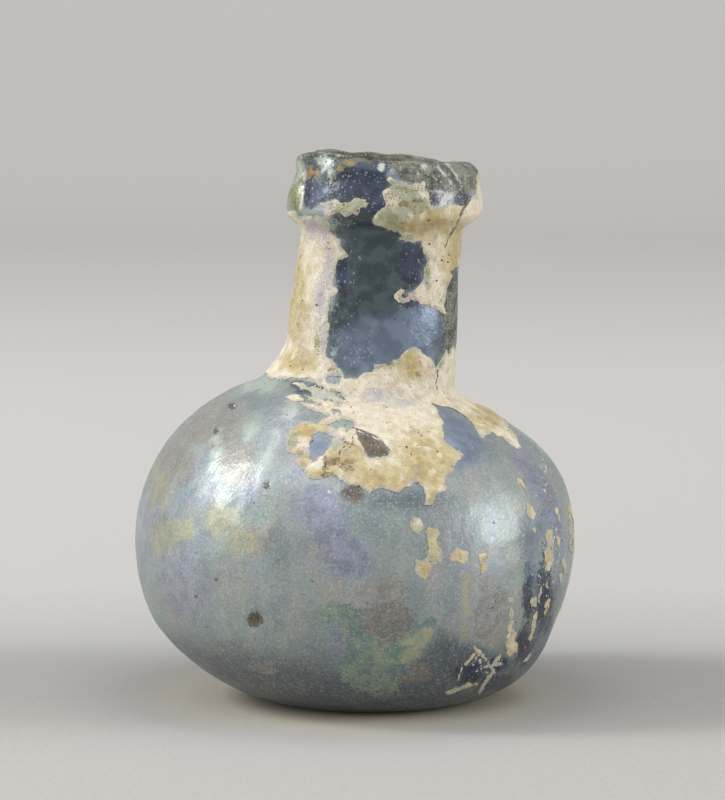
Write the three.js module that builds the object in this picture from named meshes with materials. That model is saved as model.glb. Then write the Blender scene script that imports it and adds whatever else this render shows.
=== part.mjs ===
// A small Roman scent bottle (unguentarium) of free-blown glass: a squat globular body on a flat
// standing ring with a slightly pushed-in underside, a short neck that leans a little, and a rim
// folded outwards, upwards and inwards into a thick collar. It is one piece of glass, hollow and
// open at the mouth. Lengths are in millimetres, +Z is up, and the origin is on the ground under
// the middle of the bottle.
import * as THREE from "three";

// Underside
const footRadius = 12.0; // outer edge of the flat standing ring
const footWidth = 2.4; // width of that ring
const kickDepth = 1.1; // how far the middle of the underside is pushed in

// Body
const bellyRadius = 27.4;
const bellyHeight = 19.9; // height of the widest level
const bodyRise = 18.7; // from there up to the shoulder
const shoulderSlope = 0.42; // fall of the shoulder for each mm outwards
const footSlope = 0.12; // rise of the underside for each mm outwards from the ring

// Neck
const neckRadius = 9.8; // narrowest, under the collar
const neckLength = 13.8; // from the top of its root to the collar
const neckFlare = 0.6; // how much wider it is at the root than under the collar
const rootRise = 5.9; // height of the sweep from the shoulder up into the neck
const rootSpread = 2.7; // how far that sweep spreads outwards

// Collar, the folded rim
const foldDepth = 2.2; // how far it stands out from the neck
const foldRise = 2.9; // height of its rounded underside
const faceRise = 4.9; // height of its outer face
const faceDrawIn = 0.8; // how much the face draws in towards the lip
const rimWidth = 4.2; // across the folded rim, from the outer face to the mouth
const lipRound = 1.5; // radius of the rounded lip

// Wall thickness
const bodyWall = 1.5;
const baseWall = 2.6; // under the floor of the bottle
const baseReach = 15.5; // height at which the thicker base has thinned to the body's wall
const neckWall = 1.9;

// How far the handles of each curve reach towards its corner, as a share, at its start and its end
const kickPulls = [0.7, 0.4];
const lowerPulls = [0.58, 0.58];
const upperPulls = [0.84, 0.5];
const rootPulls = [0.6, 0.63];
const swellPull = 0.4; // the same for a curve that is upright at both ends, as a share of its rise
const kickReach = 0.7; // where the pushed-in middle starts to fall, as a share of the way to the ring

// What the blower's hand left uneven
const footShift = 2.0; // the standing ring sits off the body's axis, to the right
const footReach = 11; // height at which that shift has run out
const shoulderTilt = 0.1; // rise of the left shoulder for each mm across
const tiltStart = 0.3; // where that tilt begins, as a share of the body's rise above the belly
const neckShift = 2.1; // the neck stands off the body's axis, to the right
const neckShiftDepth = 1.5; // how far below the shoulder that shift begins
const neckLean = 0.085; // lean of the neck to the right for each mm of rise
const lipTilt = 0.08; // rise of the lip's left side for each mm across
const outOfRound = 0.007; // as a share of the radius
const outOfRoundTurn = 0.6; // radians from +X to the wide way across
const lipWave = 0.13; // height of each of the lip's three and five uneven swells
const lipWaveTurn = 1.0; // radians from the five swells to the three

// Fineness of the mesh
const aroundSteps = 56;
const curveSteps = { kick: 3, foot: 1, lowerBody: 9, upperBody: 8, neckRoot: 5, neck: 3, fold: 4, face: 3 };
const lipSteps = 4;

// Levels and radii that follow from the sizes above
const shoulderHeight = bellyHeight + bodyRise;
const neckRootHeight = shoulderHeight + rootRise;
const neckTopHeight = neckRootHeight + neckLength;
const foldTopHeight = neckTopHeight + foldRise;
const faceTopHeight = foldTopHeight + faceRise;
const neckRootRadius = neckRadius + neckFlare;
const shoulderRadius = neckRootRadius + rootSpread;
const collarRadius = neckRadius + foldDepth;
const faceTopRadius = collarRadius - faceDrawIn;
const lipRadius = Math.min(lipRound, rimWidth / 2);
const lipHeight = faceTopHeight + lipRadius;
const mouthRadius = faceTopRadius - rimWidth;

const smooth = THREE.MathUtils.smoothstep;
const at = (radius, height) => new THREE.Vector2(radius, height);

// A curve of the section that bends round a corner.
function bend(from, corner, to, [fromPull, toPull]) {
  return new THREE.CubicBezierCurve(from, from.clone().lerp(corner, fromPull), to.clone().lerp(corner, toPull), to);
}

// A curve of the section that is upright at both ends.
function swell(from, to) {
  const reach = (to.y - from.y) * swellPull;
  return new THREE.CubicBezierCurve(from, at(from.x, from.y + reach), at(to.x, to.y - reach), to);
}

// The outer skin, as radius and height, from the middle of the underside to the top of the collar.
function outerCurves() {
  const ringInner = footRadius - footWidth;
  const floor = at(0, kickDepth);
  const ringEdge = at(ringInner, 0);
  const footEdge = at(footRadius, 0);
  const belly = at(bellyRadius, bellyHeight);
  const shoulder = at(shoulderRadius, shoulderHeight);
  const neckRoot = at(neckRootRadius, neckRootHeight);
  const neckTop = at(neckRadius, neckTopHeight);
  const foldTop = at(collarRadius, foldTopHeight);
  const faceTop = at(faceTopRadius, faceTopHeight);
  const kickCorner = at(ringInner * kickReach, kickDepth);
  const lowCorner = at(bellyRadius, footSlope * (bellyRadius - footRadius));
  const highCorner = at(bellyRadius, shoulderHeight - shoulderSlope * (bellyRadius - shoulderRadius));
  const rootCorner = at(neckRootRadius, shoulderHeight + shoulderSlope * rootSpread);
  return {
    kick: bend(floor, kickCorner, ringEdge, kickPulls),
    foot: new THREE.LineCurve(ringEdge, footEdge),
    lowerBody: bend(footEdge, lowCorner, belly, lowerPulls),
    upperBody: bend(belly, highCorner, shoulder, upperPulls),
    neckRoot: bend(shoulder, rootCorner, neckRoot, rootPulls),
    neck: swell(neckRoot, neckTop),
    fold: swell(neckTop, foldTop),
    face: swell(foldTop, faceTop),
  };
}

// Points of a run of curves, in order, without repeating a joint.
function pointsOf(curves) {
  const points = [];
  for (const [name, curve] of Object.entries(curves)) {
    const own = curve.getPoints(curveSteps[name]);
    points.push(...(points.length ? own.slice(1) : own));
  }
  return points;
}

// Wall thickness at a height: thick under the floor, even round the body, thicker again in the neck.
function wallAt(height) {
  const floorShare = 1 - smooth(height, 0, baseReach);
  const neckShare = smooth(height, shoulderHeight, neckRootHeight);
  return bodyWall + (baseWall - bodyWall) * floorShare + (neckWall - bodyWall) * neckShare;
}

// The inner skin, from the middle of the floor to the top of the neck: the outer skin moved inwards
// by the wall.
function innerPoints({ lowerBody, upperBody, neckRoot, neck }) {
  const outer = pointsOf({ lowerBody, upperBody, neckRoot, neck });
  const inner = outer.map((point, i) => {
    const before = outer[Math.max(i - 1, 0)];
    const after = outer[Math.min(i + 1, outer.length - 1)];
    const along = after.clone().sub(before).normalize();
    return point.clone().addScaledVector(at(-along.y, along.x), wallAt(point.y));
  });
  return [at(0, kickDepth + baseWall), ...inner];
}

// The rounded lip, from the collar's outer face over the top and down to the mouth.
function lipPoints() {
  const quarter = (middle, from) =>
    Array.from({ length: lipSteps + 1 }, (unused, i) => {
      const turn = from + ((i / lipSteps) * Math.PI) / 2;
      return at(middle + lipRadius * Math.cos(turn), faceTopHeight + lipRadius * Math.sin(turn));
    });
  const outerQuarter = quarter(faceTopRadius - lipRadius, 0);
  const innerQuarter = quarter(mouthRadius + lipRadius, Math.PI / 2);
  return [...outerQuarter.slice(1), ...innerQuarter];
}

// The bottle's whole section: up the outside, over the lip and down the inside to the floor.
function section() {
  const curves = outerCurves();
  const throat = at(mouthRadius, foldTopHeight);
  return [...pointsOf(curves), ...lipPoints(), throat, ...innerPoints(curves).reverse()];
}

// The unevenness of free blowing, as one smooth shift of space, so that the wall keeps its thickness.
function blow(point) {
  const angle = Math.atan2(point.y, point.x);
  const risen = smooth(point.z, 0, bellyHeight);
  const round = 1 + outOfRound * risen * Math.cos(2 * (angle - outOfRoundTurn));
  const x = point.x * round;
  const y = point.y * round;
  const shoulderStart = bellyHeight + bodyRise * tiltStart;
  const onShoulder =
    smooth(point.z, shoulderStart, neckRootHeight) * (1 - smooth(point.z, neckRootHeight, neckTopHeight));
  const onLip = smooth(point.z, neckTopHeight, lipHeight);
  const onNeck = smooth(point.z, shoulderHeight - neckShiftDepth, neckRootHeight);
  const aboveRoot = Math.max(0, point.z - neckRootHeight);
  const shift = footShift * (1 - smooth(point.z, 0, footReach)) + neckShift * onNeck + neckLean * aboveRoot;
  const drop = (shoulderTilt * onShoulder + lipTilt * onLip) * x;
  const swells = Math.cos(3 * angle + lipWaveTurn) + Math.cos(5 * angle);
  return new THREE.Vector3(x + shift, y, point.z - drop + lipWave * swells * onLip);
}

// Glass of the bottle, as one closed body, with its lowest point at height 0 and its middle on the axis.
function flaskGeometry() {
  const geometry = new THREE.LatheGeometry(section(), aroundSteps);
  geometry.rotateX(Math.PI / 2);
  const position = geometry.getAttribute("position");
  for (let i = 0; i < position.count; i++) {
    const blown = blow(new THREE.Vector3().fromBufferAttribute(position, i));
    position.setXYZ(i, blown.x, blown.y, blown.z);
  }
  geometry.computeBoundingBox();
  const middle = geometry.boundingBox.getCenter(new THREE.Vector3());
  geometry.translate(-middle.x, -middle.y, -geometry.boundingBox.min.z);
  geometry.computeVertexNormals();
  return geometry;
}

const weatheredGlass = new THREE.MeshStandardMaterial({ color: 0x53616b, roughness: 0.35, metalness: 0.0 });

const flask = new THREE.Mesh(flaskGeometry(), weatheredGlass);
flask.name = "glass_flask";

const unguentarium = new THREE.Group();
unguentarium.add(flask);

export default unguentarium;
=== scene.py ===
"""A small Roman scent bottle of free-blown glass, weathered in the ground, with burial crust on it.

Sizes are in millimetres until a mesh is made. +Z is up and the photograph looks along +Y. Places on
the side that the photograph shows are given as its pixels, in a frame of 725 by 800.
"""

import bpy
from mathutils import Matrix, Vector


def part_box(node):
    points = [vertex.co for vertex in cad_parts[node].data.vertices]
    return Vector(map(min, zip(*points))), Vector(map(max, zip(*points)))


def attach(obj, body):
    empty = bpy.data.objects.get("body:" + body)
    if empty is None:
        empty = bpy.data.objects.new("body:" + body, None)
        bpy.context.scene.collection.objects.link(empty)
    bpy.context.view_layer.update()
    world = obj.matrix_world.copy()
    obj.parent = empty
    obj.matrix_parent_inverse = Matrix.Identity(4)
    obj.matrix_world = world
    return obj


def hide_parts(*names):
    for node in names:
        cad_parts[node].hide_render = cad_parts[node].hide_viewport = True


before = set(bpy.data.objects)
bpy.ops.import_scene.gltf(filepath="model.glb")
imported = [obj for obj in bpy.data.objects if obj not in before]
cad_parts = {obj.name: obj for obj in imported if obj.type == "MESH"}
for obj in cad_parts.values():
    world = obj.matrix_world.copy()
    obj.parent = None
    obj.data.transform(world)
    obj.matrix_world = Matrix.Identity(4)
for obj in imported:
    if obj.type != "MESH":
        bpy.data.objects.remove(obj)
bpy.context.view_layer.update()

import math

import bpy
import numpy as np
from mathutils import Vector

MM = 0.001


def new_object(name, data):
    """An object in the scene with this mesh, camera or lamp."""
    thing = bpy.data.objects.new(name, data)
    bpy.context.collection.objects.link(thing)
    return thing


# The photograph's frame and camera

PHOTO_WIDTH = 725
PHOTO_HEIGHT = 800
PIXELS_PER_MM = 8.0
CAMERA_DISTANCE = 480.0
CAMERA_RISE = math.radians(6.0)
SENSOR_WIDTH = 36.0
AIM = np.array([0.94, 0.0, 37.3])
LOOK = np.array([0.0, math.cos(CAMERA_RISE), -math.sin(CAMERA_RISE)])
UPRIGHT = np.array([0.0, math.sin(CAMERA_RISE), math.cos(CAMERA_RISE)])
CAMERA_PLACE = AIM - LOOK * CAMERA_DISTANCE


def make_camera():
    data = bpy.data.cameras.new("camera")
    data.sensor_width = SENSOR_WIDTH
    data.lens = SENSOR_WIDTH * CAMERA_DISTANCE * PIXELS_PER_MM / PHOTO_HEIGHT
    data.clip_end = 20
    camera = new_object("camera", data)
    camera.location = Vector(CAMERA_PLACE) * MM
    camera.rotation_euler = Vector(LOOK).to_track_quat("-Z", "Y").to_euler()
    bpy.context.scene.camera = camera


make_camera()


def photo_place(points):
    """Pixels of the photograph at which points of the bottle show."""
    away = points - CAMERA_PLACE
    scale = PIXELS_PER_MM * CAMERA_DISTANCE / (away @ LOOK)
    across = PHOTO_WIDTH / 2 + scale * away[:, 0]
    down = PHOTO_HEIGHT / 2 - scale * (away @ UPRIGHT)
    return np.stack([across, down], 1)


# Small tools for numbers


def smooth(value, low, high):
    """0 below low, 1 above high, and an even S between them."""
    share = np.clip((value - low) / (high - low), 0, 1)
    return share * share * (3 - 2 * share)


def lattice(cells, seed):
    """An even random number from 0 to 1 for each cell of a grid, the same on every run."""
    x, y, z = cells.astype(np.int64).T
    mixed = (x * 73856093) ^ (y * 19349663) ^ (z * 83492791) ^ (seed * 2654435761)
    mixed &= 0xFFFFFFFF
    mixed = ((mixed ^ (mixed >> 15)) * 2246822519) & 0xFFFFFFFF
    mixed = ((mixed ^ (mixed >> 13)) * 3266489917) & 0xFFFFFFFF
    return ((mixed ^ (mixed >> 16)) & 0xFFFFFF) / 0xFFFFFF


def clouds(points, size, seed, octaves=3):
    """Soft random swells from about -1 to 1, whose largest are as wide as size."""
    total = np.zeros(len(points))
    for octave in range(octaves):
        place = points / size * 2**octave + 17.3 * seed
        low = np.floor(place)
        part = place - low
        part = part * part * (3 - 2 * part)
        for corner in np.ndindex(2, 2, 2):
            share = np.prod(np.where(corner, part, 1 - part), axis=1)
            total += share * (2 * lattice(low + corner, seed + octave) - 1) * 0.5**octave
    return total


def within(pixels, outline):
    """How far each place is inside an outline, in mm, and less than 0 outside it."""
    corners = np.array(outline, float)
    nearest = np.full(len(pixels), np.inf)
    inside = np.zeros(len(pixels), bool)
    for start, end in zip(corners, np.roll(corners, -1, axis=0)):
        nearest = np.minimum(nearest, off_line(pixels, start, end))
        crosses = (start[1] > pixels[:, 1]) != (end[1] > pixels[:, 1])
        rise = end[1] - start[1] or 1e-9
        crossing = start[0] + (pixels[:, 1] - start[1]) / rise * (end[0] - start[0])
        inside ^= crosses & (pixels[:, 0] < crossing)
    return np.where(inside, nearest, -nearest) / PIXELS_PER_MM


def off_line(pixels, start, end):
    """Distance in pixels from the straight line between two places."""
    along = end - start
    share = np.clip((pixels - start) @ along / max(along @ along, 1e-9), 0, 1)
    return np.linalg.norm(pixels - start - share[:, None] * along, axis=1)


def off_stroke(pixels, stroke):
    """Distance in mm from a stroke of several points."""
    places = np.array(stroke, float)
    return np.min([off_line(pixels, a, b) for a, b in zip(places, places[1:])], axis=0) / PIXELS_PER_MM


def off_spot(pixels, x, y):
    """Distance in mm from one place in the photograph."""
    return np.hypot(*(pixels - (x, y)).T) / PIXELS_PER_MM


def within_oval(pixels, oval):
    """How far each place is inside an oval (x, y, half width, half height[, turn in degrees]), in mm."""
    x, y, wide, high, turn = (*oval, 0)[:5]
    side = pixels - (x, y)
    cos, sin = math.cos(math.radians(turn)), math.sin(math.radians(turn))
    across = side[:, 0] * cos + side[:, 1] * sin
    down = side[:, 1] * cos - side[:, 0] * sin
    out = np.hypot(across / wide, down / high)
    return (1 - out) * min(wide, high) / PIXELS_PER_MM


def marked(pixels, outlines=(), ovals=(), strokes=()):
    """How far each place is inside any of these shapes. A stroke is (width in pixels, points)."""
    found = [np.full(len(pixels), -9.0)]
    found += [within(pixels, outline) for outline in outlines]
    found += [within_oval(pixels, oval) for oval in ovals]
    found += [width / 2 / PIXELS_PER_MM - off_stroke(pixels, points) for width, points in strokes]
    return np.max(found, axis=0)


# The bottle's section, as in the CAD part

FOOT_RADIUS = 12.0
FOOT_WIDTH = 2.4
KICK_DEPTH = 1.1
BELLY_RADIUS = 27.4
BELLY_HEIGHT = 19.9
BODY_RISE = 18.7
SHOULDER_HEIGHT = BELLY_HEIGHT + BODY_RISE
SHOULDER_SLOPE = 0.42
FOOT_SLOPE = 0.12
NECK_RADIUS = 9.8
NECK_ROOT_RADIUS = NECK_RADIUS + 0.6
NECK_ROOT_HEIGHT = SHOULDER_HEIGHT + 5.9
NECK_TOP_HEIGHT = NECK_ROOT_HEIGHT + 13.8
ROOT_SPREAD = 2.7
COLLAR_RADIUS = NECK_RADIUS + 2.2
FOLD_TOP_HEIGHT = NECK_TOP_HEIGHT + 2.9
FACE_TOP_HEIGHT = FOLD_TOP_HEIGHT + 4.9
FACE_TOP_RADIUS = COLLAR_RADIUS - 0.8
LIP_ROUND = 1.5
LIP_HEIGHT = FACE_TOP_HEIGHT + LIP_ROUND
MOUTH_RADIUS = FACE_TOP_RADIUS - 4.2
BODY_WALL = 1.5
BASE_WALL = 2.6
BASE_REACH = 15.5
NECK_WALL = 1.9
KICK_PULLS = (0.7, 0.4)
LOWER_PULLS = (0.58, 0.58)
UPPER_PULLS = (0.84, 0.5)
ROOT_PULLS = (0.6, 0.63)
SWELL_PULL = 0.4
KICK_REACH = 0.7

# What the blower's hand left uneven, as inputs of the node tree that blows the bottle

UNEVEN = {
    "Foot Shift": 2.0,
    "Foot Reach": 11.0,
    "Neck Shift": 2.1,
    "Neck Shift Height": SHOULDER_HEIGHT - 1.5,
    "Neck Lean": 0.085,
    "Shoulder Tilt": 0.1,
    "Shoulder Tilt Height": BELLY_HEIGHT + BODY_RISE * 0.3,
    "Lip Tilt": 0.08,
    "Lip Wave": 0.13,
    "Lip Wave Turn": 1.0,
    "Out Of Round": 0.007,
    "Out Of Round Turn": 0.6,
    "Belly Height": BELLY_HEIGHT,
    "Neck Root Height": NECK_ROOT_HEIGHT,
    "Neck Top Height": NECK_TOP_HEIGHT,
    "Lip Height": LIP_HEIGHT,
    "Dent Depth": 0.16,
    "Dent Size": 9.0,
    "Seed": 3.0,
}


def bezier(start, first, second, end, steps=60):
    """A curve that leaves its start towards first and comes to its end from second."""
    t = np.linspace(0, 1, steps + 1)[:, None]
    return (1 - t) ** 3 * start + 3 * (1 - t) ** 2 * t * first + 3 * (1 - t) * t**2 * second + t**3 * end


def bend(start, corner, end, pulls):
    """A curve of the section that bends round a corner."""
    start, corner, end = (np.array(place, float) for place in (start, corner, end))
    return bezier(start, start + (corner - start) * pulls[0], end + (corner - end) * pulls[1], end)


def swell(start, end):
    """A curve of the section that is upright at both ends."""
    start, end = np.array(start, float), np.array(end, float)
    reach = (0, (end[1] - start[1]) * SWELL_PULL)
    return bezier(start, start + reach, end - reach, end)


def outer_curves():
    ring = FOOT_RADIUS - FOOT_WIDTH
    shoulder_radius = NECK_ROOT_RADIUS + ROOT_SPREAD
    foot = (FOOT_RADIUS, 0)
    belly = (BELLY_RADIUS, BELLY_HEIGHT)
    shoulder = (shoulder_radius, SHOULDER_HEIGHT)
    root = (NECK_ROOT_RADIUS, NECK_ROOT_HEIGHT)
    neck_top = (NECK_RADIUS, NECK_TOP_HEIGHT)
    fold_top = (COLLAR_RADIUS, FOLD_TOP_HEIGHT)
    face_top = (FACE_TOP_RADIUS, FACE_TOP_HEIGHT)
    low_corner = (BELLY_RADIUS, FOOT_SLOPE * (BELLY_RADIUS - FOOT_RADIUS))
    high_corner = (BELLY_RADIUS, SHOULDER_HEIGHT - SHOULDER_SLOPE * (BELLY_RADIUS - shoulder_radius))
    root_corner = (NECK_ROOT_RADIUS, SHOULDER_HEIGHT + SHOULDER_SLOPE * ROOT_SPREAD)
    return {
        "kick": bend((0, KICK_DEPTH), (ring * KICK_REACH, KICK_DEPTH), (ring, 0), KICK_PULLS),
        "foot": np.array([(ring, 0), foot], float),
        "lower body": bend(foot, low_corner, belly, LOWER_PULLS),
        "upper body": bend(belly, high_corner, shoulder, UPPER_PULLS),
        "root": bend(shoulder, root_corner, root, ROOT_PULLS),
        "neck": swell(root, neck_top),
        "fold": swell(neck_top, fold_top),
        "face": swell(fold_top, face_top),
    }


def lip_curve():
    """The rounded lip, from the collar's face over the top to the mouth."""
    turn = np.linspace(0, math.pi / 2, 12)
    outer_middle = FACE_TOP_RADIUS - LIP_ROUND
    inner_middle = MOUTH_RADIUS + LIP_ROUND
    rise = FACE_TOP_HEIGHT + LIP_ROUND * np.sin(turn)
    outer = np.stack([outer_middle + LIP_ROUND * np.cos(turn), rise], 1)
    inner = np.stack([inner_middle - LIP_ROUND * np.cos(turn), rise], 1)[::-1]
    return np.concatenate([outer, inner])


def inner_curve(curves):
    """The inner skin from the mouth down to the middle of the floor."""
    outer = np.concatenate([curves[name] for name in ("lower body", "upper body", "root", "neck")])
    along = np.gradient(outer, axis=0)
    along /= np.maximum(np.linalg.norm(along, axis=1, keepdims=True), 1e-9)
    floor_share = 1 - smooth(outer[:, 1], 0, BASE_REACH)
    neck_share = smooth(outer[:, 1], SHOULDER_HEIGHT, NECK_ROOT_HEIGHT)
    wall = BODY_WALL + (BASE_WALL - BODY_WALL) * floor_share + (NECK_WALL - BODY_WALL) * neck_share
    inner = outer + np.stack([-along[:, 1], along[:, 0]], 1) * wall[:, None]
    throat = [(MOUTH_RADIUS, FACE_TOP_HEIGHT), (MOUTH_RADIUS, FOLD_TOP_HEIGHT)]
    return np.concatenate([throat, inner[::-1], [(0, KICK_DEPTH + BASE_WALL)]])


def evenly(points, spacing):
    """The same line with its points about this far apart."""
    keep = np.append(True, np.linalg.norm(np.diff(points, axis=0), axis=1) > 1e-6)
    points = points[keep]
    run = np.append(0, np.cumsum(np.linalg.norm(np.diff(points, axis=0), axis=1)))
    stations = np.linspace(0, run[-1], max(2, round(run[-1] / spacing) + 1))
    return np.stack([np.interp(stations, run, points[:, k]) for k in (0, 1)], 1)


def joined(*lines):
    return np.concatenate([lines[0]] + [line[1:] for line in lines[1:]])


CURVES = outer_curves()
BODY_LINE = np.concatenate([CURVES["lower body"], CURVES["upper body"]])
NECK_LINE = np.concatenate([CURVES["root"], CURVES["neck"]])
COLLAR_LINE = np.concatenate([CURVES["fold"], CURVES["face"], lip_curve()])


# Numbers on their way through a node tree


class Term:
    """An output of a node. The usual signs join terms by Math nodes, and brackets give the same node's
    other outputs."""

    def __init__(self, node, output=0):
        self.node = node
        self.tree = node.id_data
        self.socket = node.outputs[output]

    def __getitem__(self, output):
        return Term(self.node, output)

    def joined(self, operation, *others):
        return add(self.tree, "ShaderNodeMath", dict(enumerate((self, *others))), operation=operation)

    def __add__(self, other):
        return self.joined("ADD", other)

    def __sub__(self, other):
        return self.joined("SUBTRACT", other)

    def __mul__(self, other):
        return self.joined("MULTIPLY", other)

    def __truediv__(self, other):
        return self.joined("DIVIDE", other)

    __radd__ = __add__
    __rmul__ = __mul__

    def __rsub__(self, other):
        return (self * -1) + other

    def smooth(self, low, high):
        """0 below low, 1 above high, and an even S between them."""
        inputs = {0: self, 1: low, 2: high}
        return add(self.tree, "ShaderNodeMapRange", inputs, interpolation_type="SMOOTHSTEP")


def paint(red, green, blue):
    """A colour as it looks on screen, from 0 to 255, as a node wants it."""
    parts = [part / 255 for part in (red, green, blue)]
    return (*(part / 12.92 if part < 0.04 else ((part + 0.055) / 1.055) ** 2.4 for part in parts), 1.0)


def put(value, socket):
    """Joins a term to an input, or gives the input its value, which for a colour is as on screen."""
    if isinstance(value, Term):
        socket.id_data.links.new(value.socket, socket)
    elif socket.type == "RGBA":
        socket.default_value = paint(*value)
    else:
        socket.default_value = value


def add(tree, kind, inputs=None, **settings):
    """The first output of a new node with these settings and inputs."""
    node = tree.nodes.new(kind)
    for name, value in settings.items():
        setattr(node, name, value)
    for name, value in (inputs or {}).items():
        put(value, node.inputs[name])
    return Term(node)


def split(vector):
    """A vector's three parts."""
    parts = add(vector.tree, "ShaderNodeSeparateXYZ", {0: vector})
    return [parts[k] for k in range(3)]


def new_group(name, kind, inputs, outputs):
    """An empty node group, the terms of its inputs and its node for the outputs. An input is given by its
    first value or its kind, and an output by its kind."""
    tree = bpy.data.node_groups.new(name, kind)
    for label, value in inputs.items():
        plain = {float: "Float", int: "Int"}.get(type(value))
        kind_of_input = "NodeSocket" + (plain or value)
        socket = tree.interface.new_socket(label, in_out="INPUT", socket_type=kind_of_input)
        if plain:
            socket.default_value = value
    for label, value in outputs.items():
        tree.interface.new_socket(label, in_out="OUTPUT", socket_type="NodeSocket" + value)
    source = tree.nodes.new("NodeGroupInput")
    result = tree.nodes.new("NodeGroupOutput")
    return tree, {label: Term(source, label) for label in inputs}, result


# The bottle is blown by a node tree: a section is turned round the axis and then made uneven


def blown_vessel():
    inputs = {"Section": "Geometry", "Stations": 2, "Steps Around": 8, "Start Turn": 0.0}
    inputs |= {"End Turn": 2 * math.pi, **UNEVEN, "Glass": "Material"}
    tree, given, result = new_group("blown vessel", "GeometryNodeTree", inputs, {"Vessel": "Geometry"})
    counts = {"Vertices X": given["Steps Around"] + 1, "Vertices Y": given["Stations"]}
    grid = add(tree, "GeometryNodeMeshGrid", counts)
    around, along = split(grid["UV Map"])[:2]
    station = (along * (given["Stations"] - 1)).joined("ROUND")
    angle = given["Start Turn"] + around * (given["End Turn"] - given["Start Turn"])
    place = add(tree, "GeometryNodeInputPosition")
    wanted = {"Geometry": given["Section"], "Value": place, "Index": station}
    profile = add(tree, "GeometryNodeSampleIndex", wanted, data_type="FLOAT_VECTOR", domain="POINT")
    radius, z = split(profile)[::2]

    wide_turn = (angle - given["Out Of Round Turn"]) * 2
    risen = z.smooth(0, given["Belly Height"])
    round_by = given["Out Of Round"] * risen * wide_turn.joined("COSINE") + 1
    x = radius * angle.joined("COSINE") * round_by
    y = radius * angle.joined("SINE") * round_by
    root, neck_top, lip = given["Neck Root Height"], given["Neck Top Height"], given["Lip Height"]
    on_shoulder = z.smooth(given["Shoulder Tilt Height"], root) * (1 - z.smooth(root, neck_top))
    on_lip = z.smooth(neck_top, lip)
    foot_shift = given["Foot Shift"] * (1 - z.smooth(0, given["Foot Reach"]))
    neck_shift = given["Neck Shift"] * z.smooth(given["Neck Shift Height"], root)
    lean = given["Neck Lean"] * (z - root).joined("MAXIMUM", 0)
    drop = (given["Shoulder Tilt"] * on_shoulder + given["Lip Tilt"] * on_lip) * x
    swells = (angle * 3 + given["Lip Wave Turn"]).joined("COSINE") + (angle * 5).joined("COSINE")
    height = z - drop + given["Lip Wave"] * swells * on_lip
    blown = add(tree, "ShaderNodeCombineXYZ", {0: x + foot_shift + neck_shift + lean, 1: y, 2: height})

    marked_grid = {"Geometry": grid, "Name": "station", "Value": station}
    kept = add(tree, "GeometryNodeStoreNamedAttribute", marked_grid)
    placed = add(tree, "GeometryNodeSetPosition", {"Geometry": kept, "Position": blown})
    closed = add(tree, "GeometryNodeMergeByDistance", {"Geometry": placed, "Distance": 0.002})
    swelling = {"Vector": place, "W": given["Seed"], "Scale": given["Dent Size"].joined("POWER", -1)}
    dents = add(tree, "ShaderNodeTexNoise", swelling, noise_dimensions="4D")
    off_ground = split(place)[2].smooth(0.5, 6.0)
    dent = {0: add(tree, "GeometryNodeInputNormal")}
    dent["Scale"] = (dents - 0.5) * 2 * given["Dent Depth"] * off_ground
    outwards = add(tree, "ShaderNodeVectorMath", dent, operation="SCALE")
    dented = add(tree, "GeometryNodeSetPosition", {"Geometry": closed, "Offset": outwards})
    real = add(tree, "GeometryNodeRealizeInstances", {"Geometry": dented})
    glazed = add(tree, "GeometryNodeSetMaterial", {"Geometry": real, "Material": given["Glass"]})
    put(glazed, result.inputs[0])
    return tree


def evaluated(start, tree, settings):
    """The plain mesh that a node tree makes from a mesh."""
    source = new_object("source", start)
    modifier = source.modifiers.new("make", "NODES")
    modifier.node_group = tree
    for item in tree.interface.items_tree:
        if item.item_type == "SOCKET" and item.in_out == "INPUT" and item.name in settings:
            modifier[item.identifier] = settings[item.name]
    graph = bpy.context.evaluated_depsgraph_get()
    mesh = bpy.data.meshes.new_from_object(source.evaluated_get(graph), depsgraph=graph)
    source.modifiers.remove(modifier)
    bpy.data.objects.remove(source)
    return mesh


VESSEL_TREE = blown_vessel()


class Skin:
    """A turned and blown sheet in mm: its points, normals and triangles."""

    def __init__(self, section, steps, start_turn=0.0, end_turn=2 * math.pi):
        line = bpy.data.meshes.new("section")
        line.from_pydata([(radius, 0, height) for radius, height in section], [], [])
        settings = {"Stations": len(section), "Steps Around": steps}
        settings |= {"Start Turn": start_turn, "End Turn": end_turn, "Glass": GLASS}
        mesh = evaluated(line, VESSEL_TREE, settings)
        self.points = read(mesh.vertices, "co", 3)
        self.normals = read(mesh.vertex_normals, "vector", 3)
        self.station = read(mesh.attributes["station"].data, "value", 1)
        mesh.calc_loop_triangles()
        self.triangles = read(mesh.loop_triangles, "vertices", 3, np.int32)
        bpy.data.meshes.remove(mesh)
        bpy.data.meshes.remove(line)


def read(items, name, width, kind=np.float32):
    """One number or vector of every item, in full precision."""
    values = np.empty(len(items) * width, kind)
    items.foreach_get(name, values)
    if width == 1:
        return values
    return values.reshape(-1, width).astype(np.int64 if kind is np.int32 else float)


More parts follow.
